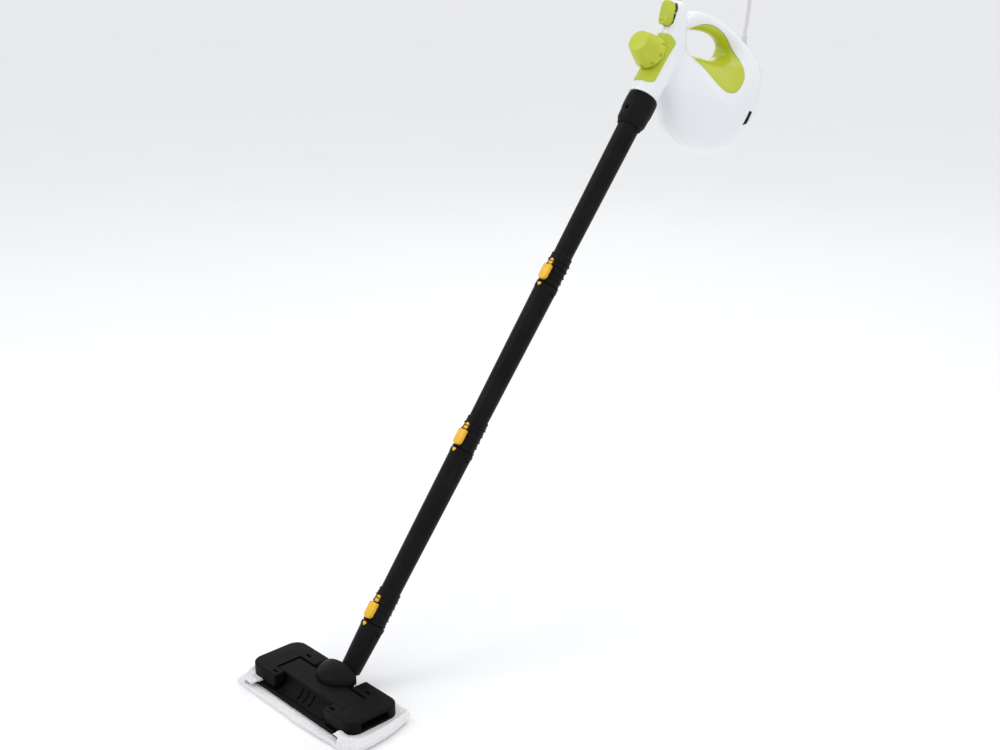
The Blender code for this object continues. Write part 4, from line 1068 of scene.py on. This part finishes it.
def dome():
    """Hood over the swivel, open at the back for the pole."""
    pts, inner = [], []
    for k in range(19):
        a = math.radians(90 - 5 * k)
        pts.append((DOME_R * math.cos(a) if k else 0.0, DOME_H * math.sin(a)))
        inner.append(((DOME_R - 2.2) * math.cos(a) if k else 0.0, (DOME_H - 2.2) * math.sin(a)))
    pts[-1] = (DOME_R, -0.6)
    pts.append((DOME_R - 0.5, -1.2))
    hood = turned("hood", pts + [(DOME_R - 2.2, -1.2)] + inner[::-1][1:], at(0, DOME_Y, DOME_Z), 120)
    carve(hood, block("hood_slot", (-60, 0, -60), (60, 60, 60), at(0, 42.4, 50, rx=DOME_CUT)))
    boss = turned("hood_boss", ((0, 52.0), (4.2, 52.0), (4.2, 19.3), (0, 19.3)), at(0, 29.0, 0), 24)
    carve(hood, boss, "UNION")
    piece(hood, "swivel", "dome", "dome_cover", angle=30)


# ------------------------------------------------------------------ cloth
def cloth_section(step=1.5):
    """Closed outline of the cloth seen from the front: flat sole, both ends turned up and tucked."""
    x, t = CLOTH_X, CLOTH_T
    right = [(0, 0), (x - 14, 0), (x - 6, 0.5), (x - 0.8, 2.6), (x + 2.0, 6.4), (x + 3.0, 10.8),
             (x + 2.2, 15.0), (x + 0.2, 18.4), (x - 2.6, 20.4), (x - 5.0, 19.8),
             (x - 6.6, FOLD_TOP), (x - 10, FOLD_TOP - 0.1), (FOLD_X + 2, FOLD_TOP - 0.1),
             (FOLD_X, FOLD_TOP - 2), (FOLD_X + 1, BASE_Z1 + 0.5),
             (BASE_X + 1.2, BASE_Z1 + 0.5), (BASE_X + 2.6, BASE_Z1 - 2.0), (BASE_X + 2.2, t + 1.6),
             (BASE_X + 0.2, t), (0, t)]
    fine = []
    for a, b in zip(right, right[1:]):
        n = max(1, round((Vector(a) - Vector(b)).length / step))
        fine += [tuple(Vector(a).lerp(Vector(b), k / n)) for k in range(n)]
    fine.append(right[-1])
    left = [(-a, b) for a, b in fine[::-1][1:-1]]
    return fine + left


def ease(t):
    """Smooth step from 0 to 1."""
    t = max(0.0, min(1.0, t))
    return t * t * (3 - 2 * t)


def drawn_in(outline, depth):
    """The outline moved inwards by a depth."""
    n = len(outline)
    out = []
    for i in range(n):
        a, b = Vector(outline[i - 1]), Vector(outline[(i + 1) % n])
        d = (b - a).normalized()
        out.append((outline[i][0] - d.y * depth, outline[i][1] + d.x * depth))
    return out


def cloth_point(x, z, v):
    """Where a point of the section lies, v from -1 at the front edge to 1 at the back.

    The right end rolls out in a bulge and sits back at the front; the left end is drawn to
    a flat tip. The front hem lies in a soft wave.
    """
    mid_y = (CLOTH_Y0 + CLOTH_Y1) / 2
    half_y = (CLOTH_Y1 - CLOTH_Y0) / 2
    y = mid_y + v * half_y
    roll = ease((abs(x) - 112.0) / 26.0)
    front = ease((-46.0 - y) / 14.0)
    back = ease((y - 54.0) / 12.0)
    lifted = ease((z - 11.0) / 6.0)
    out = x - math.copysign(7.5 * roll * (0.35 if x < 0 else 1.0) * front ** 2 + 6.0 * roll * back ** 2, x)
    back_off = 0.0
    puff = 3.2 if x > 0 else 0.5
    if x < 0:
        out -= 4.5 * roll * ease((-y - 25.0) / 35.0) * (1 - 0.6 * lifted)
        z *= 1.0 - 0.42 * ease((-123.5 - x) / 7.0) * ease((-y - 34.0) / 18.0)
        z -= 1.8 * lifted * ease((-y - 51.0) / 6.0)
    else:
        round_out = max(0.0, 1.0 - ((y - ROLL_BULGE_Y) / 72.0) ** 2)
        out += ROLL_BULGE * ease((x - 120.0) / 18.0) * round_out * (1 - 0.25 * lifted)
        out += 9.0 * lifted * (1 - ease((x - 104.0) / 12.0)) * ease((-y - 30.0) / 20.0)
        back_off = 10.0 * ease((x - 84.0) / 14.0) * ease((-y - 30.0) / 30.0) * (0.25 + 0.75 * lifted)
    up = z + lifted * ease((abs(x) - 96.0) / 8.0) * puff * front
    hem = ease((-50.5 - y) / 4.0) * ease((z - 3.0) / 3.0) * (1 - ease((abs(x) - 118.0) / 6.0))
    up += FRONT_HEM_LIFT * hem
    wave = noise.noise(Vector((x * 0.017, v * 1.2, 3.0)))
    forward = -2.6 * (1 - ease((v + 1) / 0.35)) * (1 - (x / 150.0) ** 2) * (0.65 + wave)
    sag = 1.3 * max(0.0, noise.noise(Vector((x * 0.03, 7.0, 1.0)))) * ease((-52.0 - y) / 10.0)
    return out, y + back_off + forward + 0.9 * wave * roll, up + sag


def cloth():
    """Terry cloth: the section lofted from front to back with rounded edges."""
    outline = cloth_section()
    n = len(outline)
    rows, curl = 92, 1.9
    turn = [math.radians(22.5 * k) for k in range(4)]
    ends = [(curl * (1 - math.sin(a)), curl * (1 - math.cos(a))) for a in turn]
    length = CLOTH_Y1 - CLOTH_Y0
    stations = [(-1 + 2 * inward / length, depth) for depth, inward in ends]
    stations += [(-1 + 2 * (curl + (length - 2 * curl) * j / rows) / length, 0.0) for j in range(rows + 1)]
    stations += [(1 - 2 * inward / length, depth) for depth, inward in ends[::-1]]
    verts = []
    for v, depth in stations:
        ring = drawn_in(outline, depth) if depth else outline
        for x, z in ring:
            px, py, pz = cloth_point(x, z, v)
            verts.append((px, py, max(pz, 0.0)))
    faces = []
    for j in range(len(stations) - 1):
        a, b = j * n, (j + 1) * n
        faces += [(a + k, a + (k + 1) % n, b + (k + 1) % n, b + k) for k in range(n)]
    last = (len(stations) - 1) * n
    faces += [tuple(range(n)), tuple(last + n - 1 - k for k in range(n))]
    obj = fair(add("terry_cloth", mesh_from("terry_cloth", verts, faces)))
    rough_up(obj)
    piece(obj, "head", "cloth", "cloth", angle=180)


def rough_up(obj):
    """Pile of the terry: soft clumps and small loops, none through the sole."""
    bm = bmesh.new()
    bm.from_mesh(obj.data)
    bmesh.ops.triangulate(bm, faces=[f for f in bm.faces if len(f.verts) > 4])
    bm.normal_update()
    moves = []
    for v in bm.verts:
        p = v.co / MM
        amount = noise.noise(p * 0.07) * 0.45 + noise.noise(p * 0.55) * 0.2
        moves.append(v.normal * (amount * MM if p.z > 0.4 else 0.0))
    for v, move in zip(bm.verts, moves):
        v.co += move
        v.co.z = max(v.co.z, 0.0)
    bm.to_mesh(obj.data)
    bm.free()


def head_group():
    clamp("clamp_left_body", "cloth_clamp_left", "clamp_left", -1)
    clamp("clamp_right_body", "cloth_clamp_right", "clamp_right", 1)
    dome()
    cloth()


hand_unit()
control_panel()
steam_button()
pole_group()
head_group()
